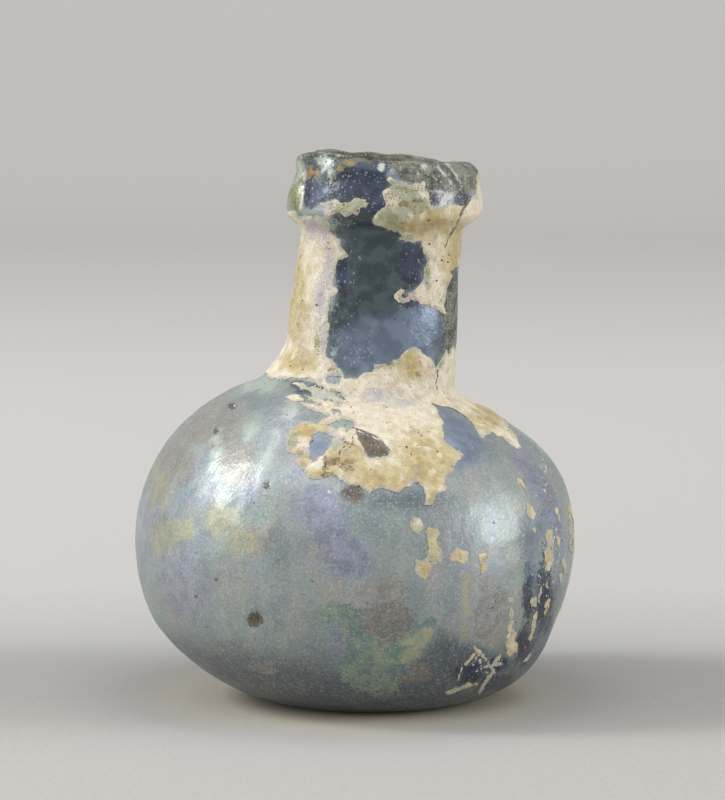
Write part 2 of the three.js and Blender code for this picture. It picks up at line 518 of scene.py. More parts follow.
def new_piece(name, points, triangles, material, fields, sharp=None):
    """A mesh object from points in mm, with a number on each point for every field."""
    mesh = bpy.data.meshes.new(name)
    mesh.vertices.add(len(points))
    mesh.vertices.foreach_set("co", (points * MM).astype(np.float32).ravel())
    mesh.loops.add(triangles.size)
    mesh.loops.foreach_set("vertex_index", triangles.astype(np.int32).ravel())
    mesh.polygons.add(len(triangles))
    mesh.polygons.foreach_set("loop_start", np.arange(0, triangles.size, 3, dtype=np.int32))
    mesh.polygons.foreach_set("loop_total", np.full(len(triangles), 3, np.int32))
    mesh.polygons.foreach_set("use_smooth", np.ones(len(triangles), bool))
    mesh.update(calc_edges=True)
    mesh.validate()
    if sharp is not None:
        mesh.set_sharp_from_angle(angle=math.radians(sharp))
    for label, values in fields.items():
        attribute = mesh.attributes.new(label, "FLOAT", "POINT")
        attribute.data.foreach_set("value", np.asarray(values, np.float32))
    mesh.materials.append(material)
    piece = new_object(name, mesh)
    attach(piece, "root")
    return piece


def facing(points, normals):
    """1 where the skin looks at the camera, 0 at the outline, less than 0 behind it."""
    towards = CAMERA_PLACE - points
    towards /= np.linalg.norm(towards, axis=1, keepdims=True)
    return np.sum(towards * normals, axis=1)


def in_view(points, normals):
    """1 on the side that the photograph shows and 0 on the hidden one."""
    return smooth(facing(points, normals) + 0.1 * clouds(points, 3.5, 33), -0.26, -0.06)


# Relief that the blower and the ground left in the glass itself

COLLAR_CREASE = [(301, 168), (303, 182), (302, 196), (299, 208), (301, 216)]
PITS = [
    (255, 620, 1.0, 0.42), (232, 406, 0.5, 0.2), (216, 431, 0.42, 0.15), (267, 486, 0.5, 0.18),
    (273, 586, 0.28, 0.05), (217, 580, 0.25, 0.05), (326, 545, 0.22, 0.05), (313, 580, 0.3, 0.05),
    (343, 585, 0.22, 0.05), (300, 596, 0.22, 0.05), (361, 558, 0.2, 0.05), (260, 566, 0.2, 0.05),
    (311, 550, 0.2, 0.05), (213, 447, 0.25, 0.05), (278, 560, 0.2, 0.05), (196, 596, 0.2, 0.05),
]


CREASE_DEPTH = 0.3
CREASE_WIDTH = 0.45
LIP_ROUGHNESS = 0.16
SKIN_ROUGHNESS = 0.05


def hand_marks(points, normals):
    """How far the glass stands out, in mm, by its crease, its pits and its rough lip."""
    pixels = photo_place(points)
    seen = in_view(points, normals)
    height = points[:, 2]
    crease = off_stroke(pixels, COLLAR_CREASE) / CREASE_WIDTH
    relief = -CREASE_DEPTH * np.exp(-(crease**2)) * seen * smooth(height, 58, 60)
    relief += LIP_ROUGHNESS * clouds(points, 2.2, 41) * smooth(height, 61.5, 64.5)
    relief += SKIN_ROUGHNESS * clouds(points, 1.6, 43, 2) * smooth(height, 2, 8)
    for x, y, radius, depth in PITS:
        relief -= depth * (1 - smooth(off_spot(pixels, x, y), radius * 0.5, radius)) * seen
    return relief


# Burial crust: where it lies, in the photograph's pixels on the side that shows

CRUST_OUTLINE = [
    (284, 214), (285, 330), (262, 362), (270, 380), (278, 379), (296, 378), (308, 377), (317, 383),
    (329, 377), (341, 377), (339, 385), (342, 391), (341, 399), (338, 404), (339, 409), (341, 417),
    (353, 423), (349, 429), (346, 433), (343, 439), (339, 448.6), (327, 452.6), (315.5, 460.5),
    (305, 468), (308, 479), (317, 480), (326, 476), (335, 474), (341, 480), (349, 484), (361, 488),
    (369, 493), (377, 489), (385, 488), (392, 491), (398.5, 492), (408, 488), (416, 484), (422, 486),
    (426, 492), (424, 504), (428, 510), (432, 502), (435, 494), (441, 493), (445, 490), (444, 484),
    (446, 478), (451, 472), (456, 466), (463, 455), (455, 450), (448, 445), (442, 437), (443, 429),
    (442, 421), (437, 411), (432, 404), (442, 407), (454, 409), (461, 415), (468, 419), (476, 429),
    (482.5, 438), (493, 433), (503, 438), (509, 446), (515, 450), (521, 448), (515, 435), (507, 425),
    (499, 414), (496, 402), (475, 385), (470, 240), (492, 226), (490, 200), (466, 207), (440, 222),
    (300, 216), (292, 211),
]
NECK_WINDOW = [
    (330, 213), (329, 219), (330, 225), (329, 231), (334.5, 235.6), (342, 241.5), (344, 249),
    (348.5, 256), (343, 258.4), (337.5, 257.6), (335, 266), (336, 277), (334.5, 285.5), (338, 290.6),
    (333, 297), (330, 306), (328.7, 318), (328.7, 330), (326, 356), (335, 362.6), (341, 369.5),
    (345, 377.4), (357, 377.4), (363, 373.5), (375, 369.5), (373, 363.6), (385, 362), (396.5, 359.7),
    (406, 350), (414, 346), (422, 352), (432, 361.6), (436, 370), (440, 358), (446, 350), (449, 354),
    (453, 345), (456, 348), (459, 338), (466, 334), (466, 280), (460, 270), (457.8, 265), (452.6, 271),
    (452, 278), (448, 285.5), (446, 296), (444.6, 313.4), (438.7, 309.7), (431, 308), (425.5, 304.6),
    (416.7, 301), (408, 297), (400.6, 292), (411.6, 291.4), (416.7, 287), (422.6, 278), (424, 269.4),
    (427.7, 259), (422.6, 252), (421, 240), (414, 242), (405, 241.5), (398.4, 239), (403, 235.6),
    (399, 231), (395, 224), (387, 227.6), (379, 226), (373, 221), (376, 216.5), (381.5, 210), (387, 208),
    (386, 200.4), (382, 193), (393, 186), (387, 180), (386, 172.5), (384, 140), (300, 140), (300, 200),
    (306, 207), (313, 206), (320, 203), (328, 205),
]
COLLAR_STRIP = [
    (318, 203), (327, 203), (334, 200), (341, 203), (350, 200.4), (357, 197), (361, 199), (366, 198),
    (369, 203), (366, 208), (362, 209), (358, 216), (353, 213), (346, 216.5), (338, 213), (333, 215),
    (327, 219),
]
COLLAR_RIGHT = [
    (390, 177), (402, 180), (410, 184), (424, 181), (425, 190), (428, 194), (432, 206), (446, 206),
    (450, 198), (453, 204), (463, 206), (472, 199), (476, 186), (477, 172), (480, 172), (490, 190),
    (488, 215), (472, 230), (388, 230), (373, 221), (376, 216.5), (381.5, 210), (387, 208), (386, 200.4),
    (382, 193), (393, 186), (387, 180),
]
LENS_HOLLOW = [(357, 433), (369, 435), (381, 441), (390, 452), (389, 458.5), (369, 456.5), (363, 449)]
HOLE_BY_WINDOW = [(403.5, 295.8, 3.4, 3)]
WINDOW_RING = [(403.5, 295.8, 7.5, 6.5)]
SHOULDER_NET = [
    (286, 437), (291, 428), (298, 424), (309, 422), (318, 423), (326, 426), (338, 430), (346, 429),
    (344, 440), (339, 450), (327, 456), (318, 460), (309, 463), (303, 471), (298, 463), (293, 453),
    (287, 451),
]
NET_HOLES = [
    [(311, 436), (318, 433), (326, 433), (331, 438), (330, 447), (326, 453), (321, 456), (315, 462),
     (309, 459), (311, 452), (308, 445)],
    [(297, 455), (303, 454), (302, 458)],
]
SHARDS = [
    [(300, 403), (310, 404), (324, 407), (341, 415), (340, 421), (325, 415), (311, 410)],
    [(300, 388), (312, 386), (326, 391), (344, 399), (343, 405), (324, 397), (310, 392)],
    [(312, 379), (328, 382), (345, 387), (343, 393), (329, 390), (318, 386)],
    [(320, 376), (325, 378), (335, 392), (339, 407), (333, 402), (325, 391)],
    [(305, 396), (316, 397), (330, 401), (341, 408), (338, 412), (324, 406)],
    [(290, 383), (303, 383), (320, 392), (317, 395), (302, 388)],
    [(311, 393), (318, 388), (330, 391), (331, 398), (322, 402), (313, 399)],
    [(286, 397), (295, 395), (304, 400), (295, 402)],
    [(341, 410), (337, 420), (322, 427), (312, 425), (326, 418)],
]
TAN_PATCHES = {
    "outlines": [
        [(428, 527), (438, 528), (440, 535), (436, 540), (440, 548), (443, 553), (439, 562), (433, 564),
         (431, 571), (424.5, 579), (417, 576), (413, 570), (416, 560), (425, 558), (429.5, 548),
         (427, 538), (426, 531.5)],
        [(450, 553), (457, 548), (467, 551), (468.5, 561), (464, 566), (456, 562), (450, 560.5)],
        [(478, 556), (487.5, 552), (488, 558), (485, 563), (487, 570), (481, 574.6), (480, 566)],
        [(526, 503), (531.5, 507), (536, 513), (533, 520), (527, 515)],
        [(546, 529), (551, 530), (554, 543), (552, 558), (549, 570), (545, 571), (544, 558), (545, 541)],
        [(537, 611), (536, 626), (530, 641), (528, 638), (533, 619)],
        [(511, 608), (514, 614), (511, 629), (516, 633), (514, 641), (519, 643), (516, 651), (509, 657),
         (507, 649), (504, 644), (508, 633), (509, 616)],
    ],
    "ovals": [
        (415.4, 525.7, 6.5, 8), (534, 530, 2.5, 4), (534, 602, 3.4, 5), (510, 600, 3, 2.6),
        (502, 612, 2, 2), (560, 578, 2, 4),
    ],
    "strokes": [
        (2.0, [(558, 538), (558.5, 556)]), (4.0, [(474, 648), (480, 653), (486, 660)]),
        (3.0, [(474, 654), (466, 664)]), (2.5, [(486, 660), (494, 672.5)]),
        (2.4, [(484, 667.5), (494, 665), (502.5, 664)]), (3.4, [(448, 693), (462, 687), (476, 683)]),
        (2.2, [(489, 676), (484, 684), (479, 691)]), (1.8, [(462, 668), (458, 680)]),
        (2.2, [(520, 480), (526, 492)]), (2.6, [(569.5, 505), (571, 530), (571, 550)]),
        (3.6, [(563, 560), (566, 572)]), (2.4, [(546, 575), (546.5, 587)]),
        (2.0, [(524, 662), (530, 654)]), (2.0, [(556, 565), (553, 582)]), (1.8, [(541, 586), (538, 602)]),
        (2.2, [(500, 655), (494, 664)]), (1.8, [(556, 508), (560, 524)]), (2.0, [(516, 474), (519, 484)]),
        (1.6, [(548, 600), (544, 616)]), (2.2, [(492, 672), (487, 681)]),
    ],
}


def front_crust(pixels):
    """The crust on the neck, shoulder and collar as the photograph shows it."""
    body = within(pixels, CRUST_OUTLINE)
    crust = np.minimum(body, -within(pixels, NECK_WINDOW))
    crust = np.minimum(crust, -within(pixels, LENS_HOLLOW))
    more = [COLLAR_STRIP, COLLAR_RIGHT, SHOULDER_NET, *SHARDS]
    crust = np.maximum(crust, marked(pixels, more, WINDOW_RING))
    return np.minimum(crust, -marked(pixels, NET_HOLES, HOLE_BY_WINDOW))


def side_window(points):
    """How far inside the bare patch that the neck's window ends in, round the corner."""
    angle = np.arctan2(points[:, 1], points[:, 0])
    out = np.hypot((angle - 0.12) * 2.3, (points[:, 2] - 48.9) / 5.6)
    return 3.5 * (1 - out) - 1.1 * clouds(points, 2.6, 63)


def hidden_crust(points):
    """The crust on the sides and back: most of the neck, down over the shoulder, with bare windows."""
    angle = np.arctan2(points[:, 1], points[:, 0])
    edge = 35.5 + 2.5 * np.sin(angle * 2 + 0.6) + 2.0 * np.sin(angle * 5 + 1.9)
    reach = (points[:, 2] - edge - 2.4 * clouds(points, 6, 51)) * 0.8
    windows = 3.0 * (clouds(points * (1, 1, 0.6), 8.5, 57) + 0.42)
    collar = 2.5 * (clouds(points, 4.5, 59) - 0.15) - 1.5 * smooth(points[:, 2], 66.5, 68)
    on_collar = smooth(points[:, 2], 59.5, 61.5)
    crust = np.minimum(reach, windows * (1 - on_collar) + collar * on_collar)
    return np.minimum(crust, -side_window(points))


def crust_depth(points, normals):
    """How far each point lies inside the crust's edge, in mm, ragged as the crust is."""
    pixels = photo_place(points)
    seen = in_view(points, normals)
    found = front_crust(pixels) * seen + hidden_crust(points) * (1 - seen)
    return found + 0.2 * clouds(points, 1.4, 61) + 0.13 * clouds(points, 0.45, 67, 3)


def patch_depth(points, normals):
    """The same for the crust's loose patches on the body."""
    pixels = photo_place(points)
    seen = in_view(points, normals)
    hidden = 3.2 * (clouds(points * (1, 1, 0.7), 5.5, 71) - 0.72)
    streaks = 2.0 * (clouds(points * (1, 1, 0.35), 2.6, 73) - 0.95)
    found = marked(pixels, **TAN_PATCHES) * seen + np.maximum(hidden, streaks) * (1 - seen)
    return found + 0.18 * clouds(points, 1.1, 79) + 0.12 * clouds(points, 0.4, 83, 3)


# The crust's tones, as soft ovals in the photograph: x, y, half width, half height. Pits are places
# alone, and a crack is a stroke

TAN_TONES = [
    (428, 462, 34, 34), (352, 462, 34, 20), (385, 478, 40, 16), (300, 362, 20, 14), (422, 220, 40, 17),
    (490, 418, 30, 14), (296, 290, 12, 60), (305, 430, 22, 9), (318, 478, 14, 10), (454, 258, 13, 44),
    (410, 366, 14, 16), (300, 460, 12, 12), (432, 500, 10, 12),
]
DARK_TONES = [
    (325, 467, 4, 13), (402, 204, 7, 3), (419, 201, 6, 2), (355, 431, 8, 3), (350, 488, 12, 3),
    (352, 440, 5, 8), (328, 474, 8, 7), (344, 469, 12, 9), (350, 390, 6, 2), (336, 464, 10, 9),
    (388, 362, 8, 3),
]
GREEN_TONES = [
    (350, 207, 34, 16), (400, 192, 26, 16), (405, 238, 12, 5), (426, 268, 4, 24), (378, 364, 22, 5),
    (388, 214, 20, 10), (318, 345, 4, 16), (440, 362, 4, 8), (404, 296, 8, 8), (292, 441, 9, 12),
    (416, 204, 20, 10),
]
PITS_IN_CRUST = [
    (406, 192), (416, 191), (400, 198), (392, 205), (415, 207), (429, 244), (441, 260), (436, 281),
    (447, 262), (352, 206), (358, 211), (344, 205), (386, 469), (392, 437), (370, 478), (352, 464),
    (411, 455), (421, 437), (300, 352), (317, 305), (405, 466), (437, 452),
]
SILVER_TONES = [
    (316, 222, 12, 20), (324, 208, 10, 8), (324, 236, 9, 10), (333, 378, 8, 8), (376, 396, 14, 8),
    (322, 300, 5, 22), (321, 395, 9, 7), (337, 481, 11, 4), (381, 491, 9, 5), (414, 482, 9, 5),
    (334, 438, 6, 9), (404, 404, 14, 5), (308, 451, 5, 4), (416, 470, 4, 4), (376, 456, 12, 4),
    (306, 390, 8, 3), (331, 268, 6, 30), (325, 340, 5, 24),
]
CRACKS = [
    [(470, 200), (462, 212), (456, 224), (447, 240), (444, 248)],
    [(472, 190), (466, 204), (458, 216)],
    [(445, 165), (452, 172), (460, 184)],
    [(452, 163), (458, 171), (464, 181)],
    [(432, 404), (440, 406.5), (452, 408.6), (464, 416), (474, 427)],
    [(405, 378), (412, 392), (414, 402)],
    [(350, 427), (362, 431), (378, 438), (391, 452)],
    [(357, 429), (352, 440), (340, 452), (334, 466)],
    [(346, 440), (339, 456), (335, 472)],
    [(328, 457), (324, 470), (320, 480)],
    [(437, 371), (435, 384), (438, 396)],
    [(341, 396), (352, 409), (356, 420)],
]

# The tones that chance lays on the hidden sides: the ovals of the side that shows, then the size and
# seed of the swells, and how high they stand where the tone starts and where it is full

CRUST_TONES = {
    "dark": (DARK_TONES, 5, 93, 0.5, 1.1),
    "silver": (SILVER_TONES, 5, 95, 0.45, 0.9),
    "green": (GREEN_TONES, 4, 97, 0.5, 0.9),
}
PIT_RADIUS = 0.08
FAR_OFF = 9


def toned(pixels, ovals):
    """1 in the middle of any of these soft ovals, fading to 0 at one and a half times their size."""
    share = np.zeros(len(pixels))
    for x, y, wide, high in ovals:
        out = np.hypot((pixels[:, 0] - x) / wide, (pixels[:, 1] - y) / high)
        share = np.maximum(share, 1 - smooth(out, 0.35, 1.5))
    return share


def crust_fields(points, normals, depth):
    """What the crust's material reads: its edge, its tones and its cracks."""
    pixels = photo_place(points)
    seen = in_view(points, normals)
    tan = toned(pixels, TAN_TONES) * seen + (0.5 + 0.8 * clouds(points, 7, 91)) * (1 - seen)
    fields = {"depth": depth, "tan": tan}
    for name, (ovals, size, seed, low, high) in CRUST_TONES.items():
        hidden = smooth(clouds(points, size, seed), low, high)
        fields[name] = toned(pixels, ovals) * seen + hidden * (1 - seen)
    gaps = [off_stroke(pixels, stroke) for stroke in CRACKS]
    gaps += [off_spot(pixels, *pit) - PIT_RADIUS for pit in PITS_IN_CRUST]
    fields["crack"] = np.minimum(np.min(gaps, axis=0) + FAR_OFF * (1 - seen), FAR_OFF)
    return fields


def rolled(corners, first):
    """The three corners of each triangle, from its own first one on."""
    return np.take_along_axis(corners, (first[:, None] + np.arange(3)) % 3, axis=1)


def refined(triangles, points, near):
    """The same triangles with each edge halved where both its ends are near. Gives the new triangles
    and the two old points that each new point lies between."""
    sides = np.sort(triangles[:, [(0, 1), (1, 2), (2, 0)]].reshape(-1, 2), axis=1)
    edges, back = np.unique(sides, axis=0, return_inverse=True)
    back = back.reshape(-1, 3)
    halved = near[edges].all(axis=1)
    number = np.where(halved, np.cumsum(halved) - 1 + len(points), -1)
    middle = number[back]
    count = (middle >= 0).sum(axis=1)
    made = [triangles[count == 0]]
    t, m = triangles[count == 3], middle[count == 3]
    made += [np.stack(corners, 1) for corners in (
        (t[:, 0], m[:, 0], m[:, 2]), (m[:, 0], t[:, 1], m[:, 1]),
        (m[:, 2], m[:, 1], t[:, 2]), (m[:, 0], m[:, 1], m[:, 2]))]
    for wanted in (1, 2):
        chosen = count == wanted
        turn = np.argmax((middle[chosen] >= 0) == (wanted == 1), axis=1)
        a, b, c = rolled(triangles[chosen], turn).T
        m0, m1, m2 = rolled(middle[chosen], turn).T
        if wanted == 1:
            made += [np.stack((a, m0, c), 1), np.stack((m0, b, c), 1)]
        else:
            made += [np.stack((m1, c, m2), 1), np.stack((a, b, m1), 1), np.stack((a, m1, m2), 1)]
    return np.concatenate(made), edges[halved]


EDGE_BAND = 0.5  # mm on either side of the crust's edge, where the mesh is twice as fine


def refine(skin, depth_of):
    """Halves the skin's triangles along the crust's edge, so that the edge can be ragged."""
    near = np.abs(depth_of(skin.points, skin.normals)) < EDGE_BAND
    skin.triangles, ends = refined(skin.triangles, skin.points, near)
    skin.points = np.concatenate([skin.points, skin.points[ends].mean(axis=1)])
    turned = skin.normals[ends].mean(axis=1)
    turned /= np.linalg.norm(turned, axis=1, keepdims=True)
    skin.normals = np.concatenate([skin.normals, turned])
    return skin


def clipped(triangles, values, depth):
    """The part of a sheet where depth is over 0, cut cleanly along its zero line."""
    depth = np.where(np.abs(depth) < 0.01, np.copysign(0.01, depth), depth)
    inside = depth > 0
    count = inside[triangles].sum(axis=1)
    whole = triangles[count == 3]
    cut = []
    edges = []
    for wanted, odd_inside in ((1, True), (2, False)):
        chosen = triangles[count == wanted]
        first = np.argmax(inside[chosen] == odd_inside, axis=1)
        turned = rolled(chosen, first)
        edges += [turned[:, (0, 1)], turned[:, (0, 2)]]
        cut.append(turned)
    keys = np.sort(np.concatenate(edges), axis=1)
    pairs, back = np.unique(keys, axis=0, return_inverse=True)
    back = back.ravel() + len(values)
    low, high = depth[pairs[:, 0]], depth[pairs[:, 1]]
    share = (low / (low - high))[:, None]
    added = values[pairs[:, 0]] * (1 - share) + values[pairs[:, 1]] * share
    lengths = [len(cut[0]), len(cut[0]), len(cut[1]), len(cut[1])]
    one_b, one_c, two_b, two_c = np.split(back, np.cumsum(lengths)[:-1])
    tips = np.stack([cut[0][:, 0], one_b, one_c], 1)
    halves = np.stack([two_b, cut[1][:, 1], cut[1][:, 2]], 1)
    others = np.stack([two_b, cut[1][:, 2], two_c], 1)
    kept = np.concatenate([whole, tips, halves, others])
    used, renamed = np.unique(kept, return_inverse=True)
    every = np.concatenate([values, added])
    return renamed.reshape(-1, 3), every[used]


CRUST_SINK = 0.1  # mm that the crust's underside lies in the glass, so that no gap shows at its edge
CRUST_EDGE = 0.06  # mm of its height at its edge
CRUST_LEAST = 0.03
LAYER_STEPS = (0.06, 0.05)  # mm that a second and a third layer add
CRACK_DEPTH = 0.1
CRACK_WIDTH = 0.14


def shell(name, skin, depth, relief, fields):
    """A thin closed shell of crust: the skin's own part, raised by the relief, with walls down into the
    glass."""
    labels = list(fields)
    values = np.column_stack([skin.points, skin.normals, relief] + [fields[label] for label in labels])
    triangles, values = clipped(skin.triangles, values, depth)
    places, normals, rise = values[:, :3], values[:, 3:6], values[:, 6:7]
    top = places + normals * rise
    under = places - normals * CRUST_SINK
    count = len(values)
    sides = np.concatenate([triangles[:, pair] for pair in ((0, 1), (1, 2), (2, 0))])
    mates = sides[:, 1] * count + sides[:, 0]
    rim = sides[~np.isin(sides[:, 0] * count + sides[:, 1], mates)]
    start, end = rim.T
    below = start + count
    walls = [np.column_stack([end, start, below]), np.column_stack([end, below, end + count])]
    faces = np.concatenate([triangles, triangles[:, ::-1] + count, *walls])
    both = {label: np.tile(values[:, 7 + k], 2) for k, label in enumerate(labels)}
    piece = new_piece(name, np.concatenate([top, under]), faces, CRUST, both, sharp=50)


def crust_relief(points, depth, fields, thickness):
    """The crust's height over the glass: a soft edge, layers that end in steps, swells, cracks, hollows."""
    edge = CRUST_EDGE + (thickness - CRUST_EDGE) * smooth(depth, -0.05, 0.25)
    second = LAYER_STEPS[0] * smooth(clouds(points, 3.4, 101) + depth * 0.12, 0.15, 0.2)
    third = LAYER_STEPS[1] * smooth(clouds(points, 1.9, 103) + depth * 0.1, 0.4, 0.46)
    layers = (second + third) * smooth(depth, 0.1, 0.5)
    swells = 0.03 * clouds(points, 2.2, 105) * smooth(depth, 0, 0.6)
    grain = 0.02 * clouds(points, 0.6, 107, 2)
    crack = -CRACK_DEPTH * np.exp(-((fields["crack"] / CRACK_WIDTH) ** 2))
    rough = 0.1 * fields["dark"] * clouds(points, 1.0, 109, 2)
    return np.maximum(edge + layers + swells + grain + crack + rough, CRUST_LEAST)


# Weathering films on the glass, some of which also carry painted shade and painted highlights, as their
# names say.
# Each has the size of the patches that chance lays on the hidden sides, the limit over which they show, and
# the shapes that it has in the photograph

FILMS = {
    "bare": (9, 1.15, dict(
        outlines=[NECK_WINDOW],
        ovals=[(298, 441, 7, 8), (312, 389, 20, 6), (300, 385, 12, 5)],
    )),
    # Dark glass at the places listed; film_fields adds painted shade to this film towards the bottom.
    "deep_and_shade": (9, 0.5, dict(
        outlines=[
            [(431, 640), (440, 630), (470, 642), (500, 652), (516, 658), (528, 615), (533, 575),
             (560, 590), (545, 640), (515, 675), (480, 698), (430, 706), (396, 700), (393, 682),
             (405, 669), (415, 659), (423, 649)],
        ],
        ovals=[(300, 690, 60, 18), (356, 470, 20, 12), (400, 500, 34, 8), (527, 538, 9, 15)],
    )),
    # Slate blue glass on the bare facet, in the net's hole and on the right edge; the two large ovals on
    # the lower neck window, at (385, 346) and (420, 322), are a painted reflection of the right soft box.
    "slate_and_highlight": (8, 0.8, dict(
        outlines=[
            [(434, 405), (444, 409), (455, 411), (467, 421), (475, 430), (482, 440), (484, 452),
             (474, 466), (458, 472), (450, 447), (442, 437), (442, 421)],
        ],
        ovals=[
            (385, 346, 50, 30), (420, 322, 22, 20), (539, 528, 8, 14), (530, 566, 5, 22),
            (318, 446, 13, 14),
        ],
    )),
    # Umber in the crust's lens hollow, along its top edge and just below the crust at (352, 493): partly
    # brown stain, partly painted shade in the hollow and under the crust's edge.
    "umber_and_shade": (4, 1.4, dict(
        outlines=[LENS_HOLLOW],
        ovals=[(352, 493, 12, 8), (255, 620, 4, 4), (371, 447, 6, 3)],
        strokes=[(3, [(357, 430), (372, 434), (391, 450)])],
    )),
    "grime": (3, 1.1, dict(
        outlines=[
            [(300, 148), (345, 147), (400, 148), (445, 152), (476, 160), (486, 178), (470, 192),
             (448, 192), (426, 188), (400, 178), (386, 158), (360, 160), (336, 160), (306, 162),
             (296, 158)],
        ],
        ovals=[(450, 310, 8, 44)],
    )),
    "olive": (5, 1.0, dict(
        outlines=[
            [(286, 164), (298, 160), (304, 166), (303, 182), (301, 200), (300, 212), (292, 210),
             (284, 196)],
        ],
    )),
    "ridge": (2, 1.2, dict(
        strokes=[
            (2.6, [(304, 170), (305, 184), (302, 198), (301, 207)]), (2.2, [(322, 172), (329, 162)]),
            (1.8, [(337, 158), (341, 152)]), (2.2, [(437, 166), (446, 176), (452, 184)]),
            (1.6, [(430, 170), (436, 180)]), (1.8, [(446, 163), (456, 175), (462, 186)]),
        ],
        ovals=[(424, 166, 4, 3), (412, 160, 5, 2), (393, 156, 7, 2.4), (381, 167, 4, 5), (418, 174, 2, 3)],
    )),
    "ember": (2, 1.2, dict(
        ovals=[(313, 173, 6, 6), (339, 169, 4, 3), (346, 162, 5, 2.6), (333, 176, 3, 2)],
    )),
    # Pale mint film; the ovals at (250, 430), (216, 452) and (222, 500) and both strokes, round the bright
    # spot on the left, are painted highlight.
    "mint_and_highlight": (6, 0.75, dict(
        ovals=[
            (250, 430, 7, 7), (216, 452, 5, 18), (262, 384, 18, 7), (331, 262, 4, 50), (297, 167, 5, 12),
            (222, 500, 8, 10), (326, 160, 9, 5), (291, 410, 8, 12),
        ],
        strokes=[(7, [(275, 434), (268, 452), (260, 470)]), (5, [(243, 500), (236, 522)])],
    )),
    "lavender": (8, 0.5, dict(
        outlines=[
            [(158, 553), (176, 547), (193, 540), (200, 552), (207, 572), (214, 600), (190, 620),
             (168, 604), (152, 576)],
        ],
        ovals=[(141, 516, 8, 26), (290, 410, 14, 12), (297, 470, 12, 16), (336, 497, 14, 8)],
        strokes=[(20, [(292, 408), (275, 430), (262, 460), (246, 500)])],
    )),
    "violet": (8, 0.55, dict(
        outlines=[
            [(508, 440), (522, 446), (538, 466), (552, 490), (562, 520), (566, 548), (560, 556),
             (554, 530), (545, 510), (532, 488), (515, 460)],
        ],
        ovals=[
            (316, 505, 22, 22), (330, 528, 18, 26), (345, 560, 26, 20), (404, 402, 12, 6),
            (345, 640, 14, 30),
        ],
    )),
    "gold": (6, 0.7, dict(
        outlines=[
            [(158, 519), (193, 522), (192, 540), (176, 547), (158, 554), (150, 540)],
            [(462, 571), (479, 574), (472, 600), (470, 641), (461, 641), (463, 600)],
            [(436, 616), (430, 636), (418, 652), (408, 664), (400, 660), (405, 645), (415, 630)],
        ],
        ovals=[(158, 486, 10, 22), (246, 543, 13, 11), (222, 520, 20, 16)],
    )),
    "rose": (8, 0.55, dict(
        ovals=[
            (176, 462, 18, 24), (199, 426, 28, 18), (356, 163, 5, 3), (236, 462, 20, 24),
            (205, 398, 26, 16), (328, 158, 8, 4), (222, 430, 20, 20),
        ],
    )),
    "teal": (7, 0.8, dict(
        outlines=[
            [(429.5, 614), (438, 623), (431, 636), (423, 649), (415, 659), (405, 669), (393, 682),
             (400, 692), (385, 696), (363, 692), (345, 682), (338, 666), (343, 649), (347, 638),
             (338, 624), (330, 609.5), (350, 609), (360, 614), (364, 628), (380, 646), (395, 640),
             (408, 634), (416, 622)],
        ],
        ovals=[(338, 614, 26, 10), (376, 364, 22, 6), (284, 374, 12, 8)],
    )),
    "brown": (7, 0.8, dict(
        outlines=[
            [(340, 624), (356, 612), (371.5, 606), (392, 600), (413, 608), (420, 620), (412, 632),
             (408, 641), (395, 646), (390, 653), (380, 653), (373, 646), (375, 639), (363, 638),
             (350, 638)],
            [(411, 663), (423, 661), (434, 667.5), (433, 676), (420, 684), (396, 683), (403, 672.5)],
            LENS_HOLLOW,
        ],
    )),
    "scaly": (6, 0.9, dict(
        outlines=[
            [(484, 578), (501, 583), (506, 598), (507.5, 616), (501, 636), (489, 646), (474, 641),
             (474, 616), (479, 593)],
        ],
        ovals=[(262, 540, 16, 14), (225, 648, 12, 6), (262, 668, 12, 6), (380, 590, 26, 11)],
    )),
    "navy": (6, 1.05, dict(
        outlines=[
            [(305, 176), (322, 180), (340, 174), (356, 164), (372, 156), (390, 156), (398, 166),
             (384, 174), (388, 208), (372, 218), (356, 196), (330, 200), (310, 206), (304, 190)],
        ],
        ovals=[
            (434, 198, 7, 8), (461, 199, 8, 8), (448, 310, 6, 40), (341, 268, 7, 28), (412, 266, 14, 22),
            (498, 664, 9, 8), (414, 304, 9, 4), (527, 600, 5, 30), (545, 600, 8, 36), (524, 648, 8, 16),
            (470, 672, 14, 10), (497, 682, 16, 8),
        ],
    )),
}


def film_fields(points, normals):
    """How far each point of the glass lies inside every film."""
    pixels = photo_place(points)
    seen = in_view(points, normals)
    height = points[:, 2]
    fields = {}
    for seed, (name, (size, limit, shapes)) in enumerate(FILMS.items()):
        hidden = size * 0.6 * (clouds(points, size, 120 + seed) - limit)
        hidden += 0.3 * clouds(points, 1.8, 140 + seed, 2)
        if name in ("bare", "grime"):
            hidden = np.maximum(hidden, side_window(points) * 2)
        fields[name] = np.clip(marked(pixels, **shapes) * seen + hidden * (1 - seen), -4, 4)
    # Painted shade: below about 8.5 mm the dark film spreads over the whole bottle, fuller towards the
    # bottom.
    fields["deep_and_shade"] = np.maximum(fields["deep_and_shade"], (8.5 - height) * 0.45)
    collar_dirt = 1.2 * clouds(points, 3, 160) + smooth(height, 60, 66) * 1.6 - 1.2
    fields["grime"] = np.maximum(fields["grime"], collar_dirt * (1 - seen) - 4 * seen)
    gaps = [off_spot(pixels, x, y) - radius for x, y, radius, depth in PITS]
    fields["pit"] = np.min(gaps, axis=0) + FAR_OFF * (1 - seen)
    return fields


# Shader groups that several finishes use


def blend(tree, share, first, second):
    """The first colour where share is 0 and the second where it is 1."""
    return add(tree, "ShaderNodeMix", {0: share, 6: first, 7: second}, data_type="RGBA")[2]


def between(share, first, second):
    """The same for plain numbers, with share as a term."""
    return share * (second - first) + first


